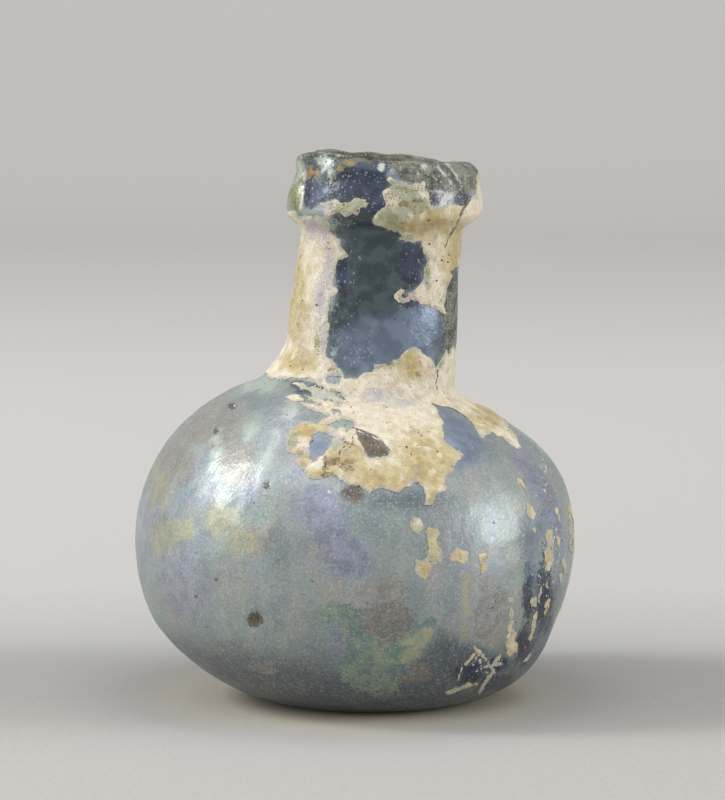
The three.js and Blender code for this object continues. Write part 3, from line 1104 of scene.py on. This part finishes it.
def layer_group():
    """A film or stain over what lies under it, two colours run together, with an edge frayed by noise."""
    inputs = {"Under Colour": "Color", "Under Gloss": 0.4, "Inside": 0.0, "Fray": 0.5, "Blotch": 0.5}
    inputs |= {"First": "Color", "Second": "Color", "Gloss": 0.4, "Raggedness": 0.5}
    inputs |= {"Softness": 0.1, "Strength": 1.0}
    outputs = {"Colour": "Color", "Gloss": "Float", "Mask": "Float"}
    tree, given, result = new_group("layer", "ShaderNodeTree", inputs, outputs)
    shifted = given["Inside"] + (given["Fray"] - 0.5) * given["Raggedness"] * 4
    mask = shifted.smooth(given["Softness"] * -1, given["Softness"]) * given["Strength"]
    tint = blend(tree, given["Blotch"].smooth(0.4, 0.6), given["First"], given["Second"])
    put(blend(tree, mask, given["Under Colour"], tint), result.inputs["Colour"])
    put(between(mask, given["Under Gloss"], given["Gloss"]), result.inputs["Gloss"])
    put(mask, result.inputs["Mask"])
    return tree


def flecks_group():
    """Small round spots, on a share of the cells of an uneven grid."""
    inputs = {"Place": "Vector", "Cell": 1.0, "Size": 0.3, "Share": 0.2}
    tree, given, result = new_group("flecks", "ShaderNodeTree", inputs, {"Mask": "Float"})
    inputs = {"Vector": given["Place"], "Scale": given["Cell"].joined("POWER", -1)}
    cells = add(tree, "ShaderNodeTexVoronoi", inputs)
    lot = add(tree, "ShaderNodeSeparateColor", {0: cells["Color"]})
    size = given["Size"] / given["Cell"] * (lot[1] * 0.9 + 0.4)
    spot = 1 - cells.smooth(size * 0.6, size)
    put(spot * lot.joined("LESS_THAN", given["Share"]), result.inputs[0])
    return tree


def ramp(share, bands):
    """Colours one after the other as share grows, from pairs of a share and a colour."""
    colours = add(share.tree, "ShaderNodeValToRGB", {0: share})
    stops = colours.node.color_ramp.elements
    for k, (place, colour) in enumerate(bands):
        stop = stops[k] if k < 2 else stops.new(1.0)
        stop.position = place
        stop.color = paint(*colour)
    return colours


SHIMMER_BANDS = [
    (0.34, (150, 190, 172)), (0.42, (182, 192, 156)), (0.48, (206, 184, 150)),
    (0.54, (190, 164, 172)), (0.6, (160, 160, 200)), (0.68, (146, 184, 196)),
]


def shimmer_group():
    """The pale bands of colour of weathered glass, one after the other as the shade grows."""
    tree, given, result = new_group("shimmer", "ShaderNodeTree", {"Shade": 0.5}, {"Colour": "Color"})
    put(ramp(given["Shade"], SHIMMER_BANDS), result.inputs[0])
    return tree


LAYER = layer_group()
FLECKS = flecks_group()
SHIMMER = shimmer_group()


def use(tree, group, **values):
    """Places a shader group in a material, with its own values."""
    inputs = {label.replace("_", " ").title(): value for label, value in values.items()}
    return add(tree, "ShaderNodeGroup", inputs, node_tree=group)


def shimmer(shade):
    """The colours of weathered glass, as they change with this shade."""
    return use(shade.tree, SHIMMER, shade=shade)


def moved(place, seed):
    """The same place, far enough off for another pattern."""
    step = (13.7 * seed, -7.9 * seed, 5.3 * seed)
    return add(place.tree, "ShaderNodeVectorMath", {0: place, 1: step}, operation="ADD")


def stretched(place, scale, turn=(0, 0, 0)):
    """The same place, turned by degrees and drawn out, so that a pattern runs in streaks."""
    inputs = {"Vector": place, "Rotation": [math.radians(angle) for angle in turn], "Scale": scale}
    return add(place.tree, "ShaderNodeMapping", inputs)


def noise(place, size, seed, detail=3.0):
    """Noise in three independent channels around 0.5, whose swells are about as wide as size."""
    inputs = {"Vector": moved(place, seed), "Detail": detail, "Scale": 1 / size}
    parts = add(place.tree, "ShaderNodeTexNoise", inputs)
    parts = add(place.tree, "ShaderNodeSeparateColor", {0: parts["Color"]})
    return [parts[k] for k in range(3)]


def spots(place, cell, size, share, seed):
    """Small round spots, on a share of cells of this size in mm."""
    return use(place.tree, FLECKS, place=moved(place, seed), cell=cell, size=size, share=share)


def field(tree, name):
    """A number that the mesh holds for each of its points."""
    return add(tree, "ShaderNodeAttribute", attribute_name=name)[2]


class Finish:
    """A material with one shader, and its colour and gloss while layer after layer goes on."""

    def __init__(self, name, **plain):
        self.material = bpy.data.materials.new(name)
        self.material.use_nodes = True
        self.tree = self.material.node_tree
        self.shader = self.tree.nodes["Principled BSDF"]
        for label, value in plain.items():
            self.shader.inputs[label.replace("_", " ")].default_value = value
        metres = add(self.tree, "ShaderNodeTexCoord")["Object"]
        inputs = {0: metres, "Scale": 1 / MM}
        self.place = add(self.tree, "ShaderNodeVectorMath", inputs, operation="SCALE")
        self.count = 0

    def ground(self, colour, gloss, frays, blotches):
        """What the layers lie on, and the noise that frays their edges and blotches them."""
        self.colour = colour
        self.gloss = gloss
        self.frays = frays
        self.blotches = blotches

    def layer(self, inside, first, second, gloss=0.5, raggedness=0.5, softness=0.1, strength=1.0):
        """Lays a film or stain wherever inside is over 0. Gives its mask."""
        fray = self.frays[self.count % len(self.frays)]
        blotch = self.blotches[(self.count + 1) % len(self.blotches)]
        self.count += 1
        laid = use(self.tree, LAYER, under_colour=self.colour, under_gloss=self.gloss, inside=inside,
                   fray=fray, blotch=blotch, first=first, second=second, gloss=gloss,
                   raggedness=raggedness, softness=softness, strength=strength)
        self.colour = laid
        self.gloss = laid["Gloss"]
        return laid["Mask"]

    def tint(self, share, colour):
        self.colour = blend(self.tree, share, self.colour, colour)

    def done(self, height, bump_mm):
        """The material, with its fine relief."""
        bump = add(self.tree, "ShaderNodeBump", {"Height": height, "Distance": bump_mm * MM})
        put(self.colour, self.shader.inputs["Base Color"])
        put(self.gloss, self.shader.inputs["Roughness"])
        put(bump, self.shader.inputs["Normal"])
        return self.material


# Films from the lowest to the one on top: first and second colour, gloss, raggedness, softness and
# strength

FILM_LOOKS = {
    "deep_and_shade": ((71, 87, 97), (53, 68, 82), 0.36, 0.3, 1.5, 0.88),
    "lavender": ((158, 164, 182), (184, 188, 204), 0.36, 1.3, 0.9, 0.75),
    "rose": ((154, 146, 138), (166, 158, 142), 0.38, 1.2, 1.1, 0.7),
    "violet": ((124, 130, 164), (158, 160, 196), 0.36, 1.4, 0.8, 0.7),
    "brown": ((122, 116, 104), (142, 134, 120), 0.5, 1.3, 0.14, 0.8),
    "scaly": ((176, 168, 156), (140, 140, 134), 0.6, 1.2, 0.12, 0.75),
    "teal": ((110, 140, 132), (150, 168, 140), 0.42, 1.2, 0.08, 0.85),
    "gold": ((168, 174, 138), (196, 188, 150), 0.38, 1.5, 0.15, 0.75),
    "bare": ((54, 69, 76), (80, 96, 105), 0.26, 0.35, 0.5, 0.95),
    "slate_and_highlight": ((116, 134, 157), (140, 155, 181), 0.3, 0.35, 1.1, 0.82),
    "navy": ((44, 48, 66), (64, 74, 100), 0.36, 0.8, 0.3, 0.9),
    "umber_and_shade": ((82, 72, 58), (118, 100, 76), 0.6, 0.5, 0.5, 0.85),
    "olive": ((138, 140, 80), (170, 172, 116), 0.38, 0.9, 0.3, 0.88),
    "grime": ((76, 78, 72), (142, 142, 122), 0.6, 0.9, 0.25, 0.85),
    "ember": ((196, 148, 72), (160, 140, 84), 0.4, 1.0, 0.3, 0.75),
    "ridge": ((212, 218, 206), (226, 226, 222), 0.4, 0.3, 0.15, 0.85),
    "mint_and_highlight": ((196, 216, 202), (214, 222, 214), 0.32, 1.2, 0.5, 0.75),
}


def weathered_glass():
    """Blue-green glass under a satin haze, with films that shine in pale colours, and dark bare windows.
    Some films also carry painted shade and painted highlights, and the pale specks painted glints.
    """
    finish = Finish("weathered glass", IOR=1.52, Transmission_Weight=0.22, Metallic=0.3, Coat_Weight=0.15,
                    Coat_Roughness=0.2)
    tree, place = finish.tree, finish.place
    wide = noise(place, 1.7, 1, 4.0)
    fine = noise(place, 0.34, 2, 2.0)
    grain = noise(place, 0.17, 5, 1.0)
    swells = noise(place, 8.0, 3, 2.0)
    streaks = noise(stretched(place, (1, 1, 0.3), (0, -28, 0)), 2.4, 4, 4.0)
    frays = [a * 0.6 + b * 0.4 for a, b in zip(wide, fine[1:] + fine[:1])]
    haze = blend(tree, swells[0].smooth(0.4, 0.6), (144, 158, 163), (165, 178, 176))
    finish.ground(haze, between(swells[1], 0.34, 0.46), frays, wide)
    finish.tint(streaks[1].smooth(0.4, 0.65) * 0.3, shimmer(swells[2] * 0.8 + streaks[0] * 0.2))
    finish.tint(streaks[2].smooth(0.5, 0.68) * 0.22, (200, 206, 204))
    for k, (name, (first, second, gloss, raggedness, softness, strength)) in enumerate(FILM_LOOKS.items()):
        if name == "bare":
            finish.tint(grain[0].smooth(0.5, 0.66) * 0.18, (226, 230, 230))
            finish.tint(grain[1].smooth(0.5, 0.66) * 0.18, (92, 100, 106))
            finish.tint(fine[0].smooth(0.5, 0.66) * 0.22, (222, 228, 228))
            finish.tint(fine[2].smooth(0.5, 0.68) * 0.22, (84, 94, 100))
            finish.tint(spots(place, 0.5, 0.12, 0.25, 6) * 0.6, shimmer(wide[0]))
        if name not in ("bare", "slate_and_highlight"):
            weak, strong = strength * 0.84, min(strength * 1.08, 1.0)
            strength = between(grain[k % 3].smooth(0.38, 0.62), weak, strong)
        finish.layer(field(tree, name), first, second, gloss, raggedness, softness, strength)
    gritty = field(tree, "grime").joined("MAXIMUM", field(tree, "olive") - 0.2).smooth(-0.3, 0.5)
    grit = spots(place, 0.42, 0.16, 0.45, 8) * gritty
    grit_colour = blend(tree, wide[2].smooth(0.42, 0.58), (214, 204, 168), (160, 184, 166))
    finish.tint(grit * 0.85, grit_colour)
    finish.tint(spots(place, 0.38, 0.15, 0.4, 9) * gritty * 0.8, (34, 36, 38))
    # Pale silver specks over the streaks and the navy, lavender and mint films: partly the films' own
    # speckle, partly painted glints.
    pale_specks_and_glints = streaks[1].smooth(0.42, 0.6)
    for name in ("navy", "lavender", "mint_and_highlight"):
        pale_specks_and_glints = pale_specks_and_glints.joined("MAXIMUM", field(tree, name).smooth(-0.2, 0.4))
    finish.tint(spots(place, 0.36, 0.13, 0.5, 10) * pale_specks_and_glints * 0.42, (224, 226, 232))
    pinholes = spots(place, 1.9, 0.13, 0.3, 7)
    finish.tint(pinholes * 0.8, (50, 50, 48))
    hollow = 1 - (field(tree, "pit") + (fine[0] - 0.5) * 0.6).smooth(-0.12, 0.12)
    hollow_colour = blend(tree, grain[2].smooth(0.45, 0.55), (58, 56, 48), (126, 118, 92))
    finish.tint(hollow * 0.85, hollow_colour)
    finish.layer(field(tree, "inside") * 6 - 4, (74, 76, 64), (122, 116, 96), 0.75, 0.4, 0.3, 0.92)
    height = fine[1] * 0.9 + wide[1] * 1.6 - pinholes * 1.5 + (fine[0] * 4 + wide[2] * 4) * gritty + grit
    return finish.done(height, 0.04)


def burial_crust():
    """Cream to ochre crust of lime and soil, pitted and cracked, with a green and lavender fringe."""
    finish = Finish("burial crust", IOR=1.5, Specular_IOR_Level=0.4)
    tree, place = finish.tree, finish.place
    wide = noise(place, 2.6, 11, 5.0)
    middle = noise(place, 0.9, 12, 4.0)
    fine = noise(place, 0.26, 13, 2.0)
    grain = noise(place, 0.17, 17, 1.0)
    down = noise(stretched(place, (1, 1, 0.4)), 1.6, 14, 5.0)
    frays = [a * 0.65 + b * 0.35 for a, b in zip(wide, middle)]
    cream = blend(tree, middle[1].smooth(0.35, 0.65), (218, 206, 180), (232, 224, 206))
    finish.ground(cream, 0.82, frays, middle)
    finish.layer(field(tree, "tan") - 0.45, (206, 194, 152), (198, 180, 130), 0.85, 0.8, 0.35, 0.85)
    finish.layer(field(tree, "tan") - 0.95, (190, 167, 110), (168, 146, 98), 0.85, 0.9, 0.4, 0.75)
    finish.tint(down[0].smooth(0.54, 0.72) * 0.5, (186, 162, 120))
    finish.tint(down[1].smooth(0.56, 0.7) * 0.5, (246, 240, 226))
    green = field(tree, "green") - 0.6 + (grain[1] - 0.5) * 2.0
    finish.layer(green, (144, 146, 112), (168, 176, 150), 0.6, 0.9, 0.2, 0.85)
    shine = shimmer(middle[0] * 0.6 + grain[0] * 0.4)
    pale_shine = blend(tree, 0.5, shine, (206, 208, 220))
    silver = field(tree, "silver") - 0.6 + (grain[2] - 0.5) * 3.4
    silver = finish.layer(silver, pale_shine, (164, 164, 182), 0.45, 0.8, 0.1, 0.75)
    near_edge = (wide[2] - 0.5) * 2.2 + 0.18 - field(tree, "depth")
    finish.layer(near_edge, shine, (176, 190, 170), 0.6, 0.35, 0.08, 0.8)
    dark = field(tree, "dark") - 0.75 + (fine[2] - 0.5) * 1.6
    finish.layer(dark, (104, 92, 74), (150, 128, 94), 0.85, 1.2, 0.2, 0.8)
    finish.tint(spots(place, 0.45, 0.12, 0.14, 16) * 0.45, (140, 116, 84))
    finish.tint(fine[0].smooth(0.55, 0.7) * 0.25, (150, 128, 98))
    pits = spots(place, 1.4, 0.17, 0.3, 15)
    finish.tint(pits * 0.8, (70, 62, 52))
    gap = 1 - (field(tree, "crack") + (middle[2] - 0.5) * 0.16).smooth(0.02, 0.1)
    finish.tint(gap * 0.85, (66, 58, 48))
    height = fine[1] * 0.9 + middle[1] * 1.8 + wide[1] * 2 - pits * 1.6 - gap * 1.5 - silver * 0.3
    return finish.done(height, 0.11)


# Floor and light

# The sweep's colour by how far behind the bottle it lies, in mm. The darker band, from about 16 mm in front
# of the bottle to 42 mm behind it and darkest 22 mm behind it, is painted shade.
FLOOR_TONES = {
    -90: (186, 184, 181), -40: (184, 182, 179), -28: (182, 180, 177), -16: (172, 170, 166),
    22: (160, 159, 157), 42: (180, 180, 177), 90: (190, 189, 187), 400: (208, 207, 205),
}
SWEEP_BEND = 400.0
SWEEP_START = -2600.0
SWEEP_WALL = 1300.0
SWEEP_TOP = 2400.0
SWEEP_HALF = 2600.0


def stage_cloth():
    """A pale matt sweep, with painted shade in a soft band behind the bottle, and painted light right under
    it, where light comes down through the glass."""
    cloth = Finish("pale sweep", Roughness=0.95, Specular_IOR_Level=0.1)
    tree, place = cloth.tree, cloth.place
    y = split(place)[1]
    low, high = min(FLOOR_TONES), max(FLOOR_TONES)
    bands = [((level - low) / (high - low), colour) for level, colour in FLOOR_TONES.items()]
    tones = ramp((y - low) / (high - low), bands)
    tones.node.color_ramp.interpolation = "B_SPLINE"
    away = add(tree, "ShaderNodeVectorMath", {0: place}, operation="LENGTH")["Value"]
    # Painted light: a warm pale patch round the bottle's foot, for the light that the glass lets through
    # onto the floor.
    glow = (1 - away.smooth(14, 30)) * 0.7
    grain = noise(place, 0.7, 9)[0].smooth(0.35, 0.65) * 0.09 * (1 - y.smooth(-10, 60))
    colour = blend(tree, grain, blend(tree, glow, tones, (238, 228, 208)), (120, 118, 114))
    put(colour, cloth.shader.inputs["Base Color"])
    return cloth.material


def make_sweep():
    """The floor, which curves up into a wall far behind the bottle."""
    turns = np.linspace(0, math.pi / 2, 17)
    line = [(y, 0.0) for y in (SWEEP_START, -200.0, 200.0)]
    line += [(SWEEP_WALL - SWEEP_BEND * (1 - math.sin(a)), SWEEP_BEND * (1 - math.cos(a))) for a in turns]
    line += [(SWEEP_WALL, SWEEP_TOP)]
    points = [(x * MM, y * MM, z * MM) for y, z in line for x in (-SWEEP_HALF, SWEEP_HALF)]
    faces = [(k, k + 1, k + 3, k + 2) for k in range(0, len(points) - 2, 2)]
    mesh = bpy.data.meshes.new("sweep")
    mesh.from_pydata(points, [], faces)
    mesh.polygons.foreach_set("use_smooth", np.ones(len(faces), bool))
    mesh.materials.append(stage_cloth())
    new_object("sweep", mesh)


LIGHTS = {
    "key softbox": dict(way=(-0.88, -0.05, 0.68), away=700, size=(120, 240), glow=21.0),
    "left wash": dict(way=(-1.0, -0.1, 0.1), away=1100, size=(900, 900), glow=1.35),
    "right softbox": dict(way=(0.96, -0.18, 0.14), away=800, size=(420, 520), glow=4.2),
    "overhead": dict(way=(0.0, -0.1, 1.0), away=1300, size=(1700, 1700), glow=1.0),
    "front fill": dict(way=(0.0, -1.0, 0.8), away=1600, size=(1500, 900), glow=0.8),
}
ROOM_COLOUR = (0.62, 0.61, 0.6, 1)
ROOM_BRIGHTNESS = 0.85
LIT_HEIGHT = 30


def make_lights():
    """Soft boxes round the bottle. A glow is the brightness of the box's own face."""
    middle = Vector((0, 0, LIT_HEIGHT * MM))
    for name, box in LIGHTS.items():
        data = bpy.data.lights.new(name, "AREA")
        data.shape = "RECTANGLE"
        data.size, data.size_y = (side * MM for side in box["size"])
        data.energy = box["glow"] * math.pi * data.size * data.size_y
        lamp = new_object(name, data)
        way = Vector(box["way"]).normalized()
        lamp.location = middle + way * box["away"] * MM
        lamp.rotation_euler = way.to_track_quat("Z", "Y").to_euler()
    world = bpy.data.worlds.new("room")
    world.use_nodes = True
    background = world.node_tree.nodes["Background"]
    background.inputs["Color"].default_value = ROOM_COLOUR
    background.inputs["Strength"].default_value = ROOM_BRIGHTNESS
    bpy.context.scene.world = world
    bpy.context.scene.view_settings.view_transform = "Standard"


make_sweep()
make_lights()
GLASS = weathered_glass()
CRUST = burial_crust()

# The bottle itself: steps round each skin, and how far apart its points lie along the section

STEPS_AROUND = 320
BODY_SPACING = 0.5
NECK_SPACING = 0.42
COLLAR_SPACING = 0.27
INNER_SPACING = 1.3
BASE_SPACING = 0.9
CRUST_STEPS = 270
CRUST_SPACING = 0.29
PATCH_STEPS = 290
PATCH_SPACING = 0.3
CRUST_FROM = 27  # lowest level that the crust of neck and shoulder reaches
PATCH_LEVELS = (1.5, 34)
CRUST_THICKNESS = 0.13
PATCH_THICKNESS = 0.1
DIRT_STATIONS = (14, 4)  # points of the section before the mouth's end where the inner dirt starts


def outside_line(base, body, neck, collar):
    """The outer skin's section, with its points this far apart."""
    lines = [evenly(CURVES["kick"], base), CURVES["foot"], evenly(BODY_LINE, body), evenly(NECK_LINE, neck)]
    return joined(*lines, evenly(COLLAR_LINE, collar))


def settled():
    """How the CAD part was moved to stand in the middle of its frame, in mm."""
    low, high = (np.array(corner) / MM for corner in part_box("glass_flask"))
    points = Skin(outside_line(1, 1, 1, 0.5), 120).points
    shift = (low + high) / 2 - (points.min(axis=0) + points.max(axis=0)) / 2
    shift[2] = low[2] - points[:, 2].min()
    return shift


SETTLED = settled()


def settle(skin):
    """Stands a skin where the CAD part stands and gives it the hand's marks."""
    skin.points = skin.points + SETTLED
    marks = hand_marks(skin.points, skin.normals)
    skin.points = skin.points + skin.normals * marks[:, None]
    return skin


def make_bottle():
    outside = outside_line(BASE_SPACING, BODY_SPACING, NECK_SPACING, COLLAR_SPACING)
    section = joined(outside, evenly(inner_curve(CURVES), INNER_SPACING))
    bottle = settle(Skin(section, STEPS_AROUND))
    fields = film_fields(bottle.points, bottle.normals)
    start, full = (len(outside) - station for station in DIRT_STATIONS)
    fields["inside"] = smooth(bottle.station, start, full)
    piece = new_piece("blown_bottle", bottle.points, bottle.triangles, GLASS, fields)
    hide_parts("glass_flask")


def lay_crust(name, skin, depth_of, thickness, least_tan=-math.inf):
    """One piece of crust on a skin, wherever depth_of is over 0."""
    skin = refine(settle(skin), depth_of)
    depth = depth_of(skin.points, skin.normals)
    fields = crust_fields(skin.points, skin.normals, depth)
    fields["tan"] = np.maximum(fields["tan"], least_tan)
    shell(name, skin, depth, crust_relief(skin.points, depth, fields, thickness), fields)


def make_crust():
    """The crust from the shoulder up to the lip, and its loose patches on the body."""
    upper = BODY_LINE[BODY_LINE[:, 1] >= CRUST_FROM]
    section = evenly(joined(upper, NECK_LINE, COLLAR_LINE), CRUST_SPACING)
    lay_crust("crust_neck_and_shoulder", Skin(section, CRUST_STEPS), crust_depth, CRUST_THICKNESS)
    low, high = PATCH_LEVELS
    lower = BODY_LINE[(BODY_LINE[:, 1] >= low) & (BODY_LINE[:, 1] <= high)]
    for name, start, end in (("front", -math.pi, 0.0), ("back", 0.0, math.pi)):
        skin = Skin(evenly(lower, PATCH_SPACING), PATCH_STEPS, start, end)
        lay_crust("crust_patches_" + name, skin, patch_depth, PATCH_THICKNESS, least_tan=0.75)


# Loose grains and lifted flakes


def chance(tree, low, high, seed):
    """A random number between low and high for each grain."""
    return add(tree, "FunctionNodeRandomValue", {2: low, 3: high, "Seed": seed}, data_type="FLOAT")[1]


def scatter_tree(name, shape, sizes, rough):
    """Grains of one shape scattered over a skin, thicker where its amount is high, and made uneven."""
    inputs = {"Skin": "Geometry", "Grains Per Square Mm": 1.0, "Smallest": 0.1, "Largest": 0.4}
    inputs |= {"Flatness": 1.0, "Tilt": 0.2, "Seed": 1, "Finish": "Material"}
    tree, given, result = new_group(name, "GeometryNodeTree", inputs, {"Grains": "Geometry"})
    seed, tilt = given["Seed"], given["Tilt"]
    amount = add(tree, "GeometryNodeInputNamedAttribute", {"Name": "amount"}, data_type="FLOAT")
    density = amount * given["Grains Per Square Mm"] * (1 / MM**2)
    inputs = {"Mesh": given["Skin"], "Seed": seed, "Density": density}
    spread = add(tree, "GeometryNodeDistributePointsOnFaces", inputs)
    low = add(tree, "ShaderNodeCombineXYZ", {0: tilt * -1, 1: tilt * -1, 2: -math.pi})
    high = add(tree, "ShaderNodeCombineXYZ", {0: tilt, 1: tilt, 2: math.pi})
    turn = add(tree, "FunctionNodeRandomValue", {0: low, 1: high, "Seed": seed}, data_type="FLOAT_VECTOR")
    inputs = {"Rotation": spread["Rotation"], "Rotate By": turn}
    turned = add(tree, "FunctionNodeRotateRotation", inputs, rotation_space="LOCAL")
    width = chance(tree, given["Smallest"] * MM, given["Largest"] * MM, seed + 1)
    scale = add(tree, "ShaderNodeCombineXYZ", {0: width, 1: width * 0.7, 2: width * given["Flatness"]})
    inputs = {"Points": spread, "Instance": add(tree, shape, sizes), "Rotation": turned, "Scale": scale}
    placed = add(tree, "GeometryNodeInstanceOnPoints", inputs)
    inputs = {"Geometry": placed, "Name": "shade", "Value": chance(tree, 0.0, 1.0, seed + 2)}
    kept = add(tree, "GeometryNodeStoreNamedAttribute", inputs, data_type="FLOAT", domain="INSTANCE")
    real = add(tree, "GeometryNodeRealizeInstances", {"Geometry": kept})
    place = add(tree, "GeometryNodeInputPosition")
    wobble = add(tree, "ShaderNodeTexNoise", {"Vector": place, "Scale": 2.2 / MM})["Color"]
    centred = add(tree, "ShaderNodeVectorMath", {0: wobble, 1: (0.5,) * 3}, operation="SUBTRACT")
    push = {0: centred, "Scale": given["Largest"] * (rough * MM)}
    pushed = add(tree, "ShaderNodeVectorMath", push, operation="SCALE")
    uneven = add(tree, "GeometryNodeSetPosition", {"Geometry": real, "Offset": pushed})
    finished = add(tree, "GeometryNodeSetMaterial", {"Geometry": uneven, "Material": given["Finish"]})
    put(finished, result.inputs[0])
    return tree


def soil():
    """Dry soil and crust in grains of cream, tan, brown and grey."""
    finish = Finish("soil grains", IOR=1.5, Specular_IOR_Level=0.3)
    middle = noise(finish.place, 0.5, 21)
    shade = field(finish.tree, "shade")
    finish.ground((206, 190, 152), 0.85, middle, middle)
    finish.layer(shade - 0.4, (176, 154, 112), (150, 130, 98), 0.85, 0.2, 0.05)
    finish.layer(shade - 0.72, (88, 82, 70), (120, 112, 96), 0.85, 0.2, 0.05)
    finish.layer(0.12 - shade, (168, 184, 160), (190, 184, 196), 0.6, 0.1, 0.03)
    return finish.done(middle[1], 0.05)


def flake_film():
    """Lifted flakes of weathering film, cream and mother-of-pearl."""
    finish = Finish("lifted flakes", IOR=1.55, Coat_Weight=0.3, Coat_Roughness=0.2)
    middle = noise(finish.place, 0.6, 22)
    shade = field(finish.tree, "shade")
    finish.ground((226, 216, 192), 0.5, middle, middle)
    pearl = shimmer(shade * 0.3 + 0.2 + middle[0] * 0.3)
    finish.layer(shade - 0.35, pearl, (206, 208, 214), 0.35, 0.15, 0.05, 0.9)
    return finish.done(middle[1], 0.03)


CRUMB_SPOTS = [
    (455, 180, 26, 18), (400, 164, 40, 7), (345, 158, 40, 5), (372, 446, 12, 6), (325, 398, 14, 14),
    (312, 440, 14, 12), (340, 474, 14, 8), (262, 664, 8, 6), (515, 640, 8, 20), (550, 555, 8, 30),
    (449, 310, 6, 40), (348, 492, 8, 5), (545, 500, 10, 20), (228, 649, 6, 4), (496, 600, 8, 14),
]
FLAKE_SPOTS = [
    (320, 398, 14, 16), (308, 386, 14, 6), (372, 398, 12, 6), (316, 228, 9, 14), (328, 166, 14, 5),
    (232, 404, 4, 3), (284, 488, 4, 8), (242, 568, 4, 4), (337, 484, 10, 4), (381, 492, 8, 5),
    (552, 545, 8, 20), (540, 590, 8, 14), (545, 480, 8, 18), (536, 440, 8, 10), (482, 664, 12, 10),
]
CRUMB = {"Radius": 0.5, "Subdivisions": 1}
CRUMB_SIZES = {"Smallest": 0.08, "Largest": 0.34, "Flatness": 0.6, "Tilt": 1.5, "Grains Per Square Mm": 2.2}
FLAKE = {"Vertices": 6, "Radius": 0.5, "Depth": 1.0}
FLAKE_SIZES = {"Smallest": 0.1, "Largest": 0.55, "Flatness": 0.07, "Tilt": 0.12}
FLAKE_SIZES |= {"Grains Per Square Mm": 1.6}


def amount_of(skin, ovals, hidden):
    """How thick grains lie, from 0 to 1: from the listed ovals where the photograph shows it, by chance
    elsewhere.
    """
    seen = in_view(skin.points, skin.normals)
    shown = toned(photo_place(skin.points), ovals)
    return (shown * seen + hidden * (1 - seen)) * smooth(skin.points[:, 2], 1.0, 2.5)


def scatter(name, tree, skin, amount, settings):
    """One piece of scattered grains."""
    source = bpy.data.meshes.new("skin")
    source.from_pydata((skin.points * MM).tolist(), [], skin.triangles.tolist())
    source.attributes.new("amount", "FLOAT", "POINT").data.foreach_set("value", amount.astype(np.float32))
    mesh = evaluated(source, tree, settings)
    mesh.name = name
    piece = new_object(name, mesh)
    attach(piece, "root")
    bpy.data.meshes.remove(source)


def make_grains():
    line = joined(evenly(BODY_LINE, 0.8), evenly(NECK_LINE, 0.8), evenly(COLLAR_LINE, 0.5))
    skin = settle(Skin(line, 200))
    points = skin.points
    crumbs = scatter_tree("soil crumbs", "GeometryNodeMeshIcoSphere", CRUMB, 0.6)
    flakes = scatter_tree("lifted flakes", "GeometryNodeMeshCylinder", FLAKE, 0.1)
    on_collar = smooth(points[:, 2], 58, 62)
    edge = 1 - smooth(np.abs(crust_depth(points, skin.normals)), 0.2, 1.0)
    dirty = smooth(clouds(points, 5, 171), 0.1, 0.9) * 0.5 + 0.4 * on_collar + 0.1 * edge
    amount = amount_of(skin, CRUMB_SPOTS, dirty) + 0.12 * edge
    settings = CRUMB_SIZES | {"Seed": 5, "Finish": soil()}
    scatter("soil_crumbs", crumbs, skin, amount, settings)
    amount = amount_of(skin, FLAKE_SPOTS, smooth(clouds(points, 6, 173), 0.3, 1.0) * 0.6)
    settings = FLAKE_SIZES | {"Seed": 8, "Finish": flake_film()}
    scatter("lifted_flakes", flakes, skin, amount, settings)


make_bottle()
make_crust()
make_grains()
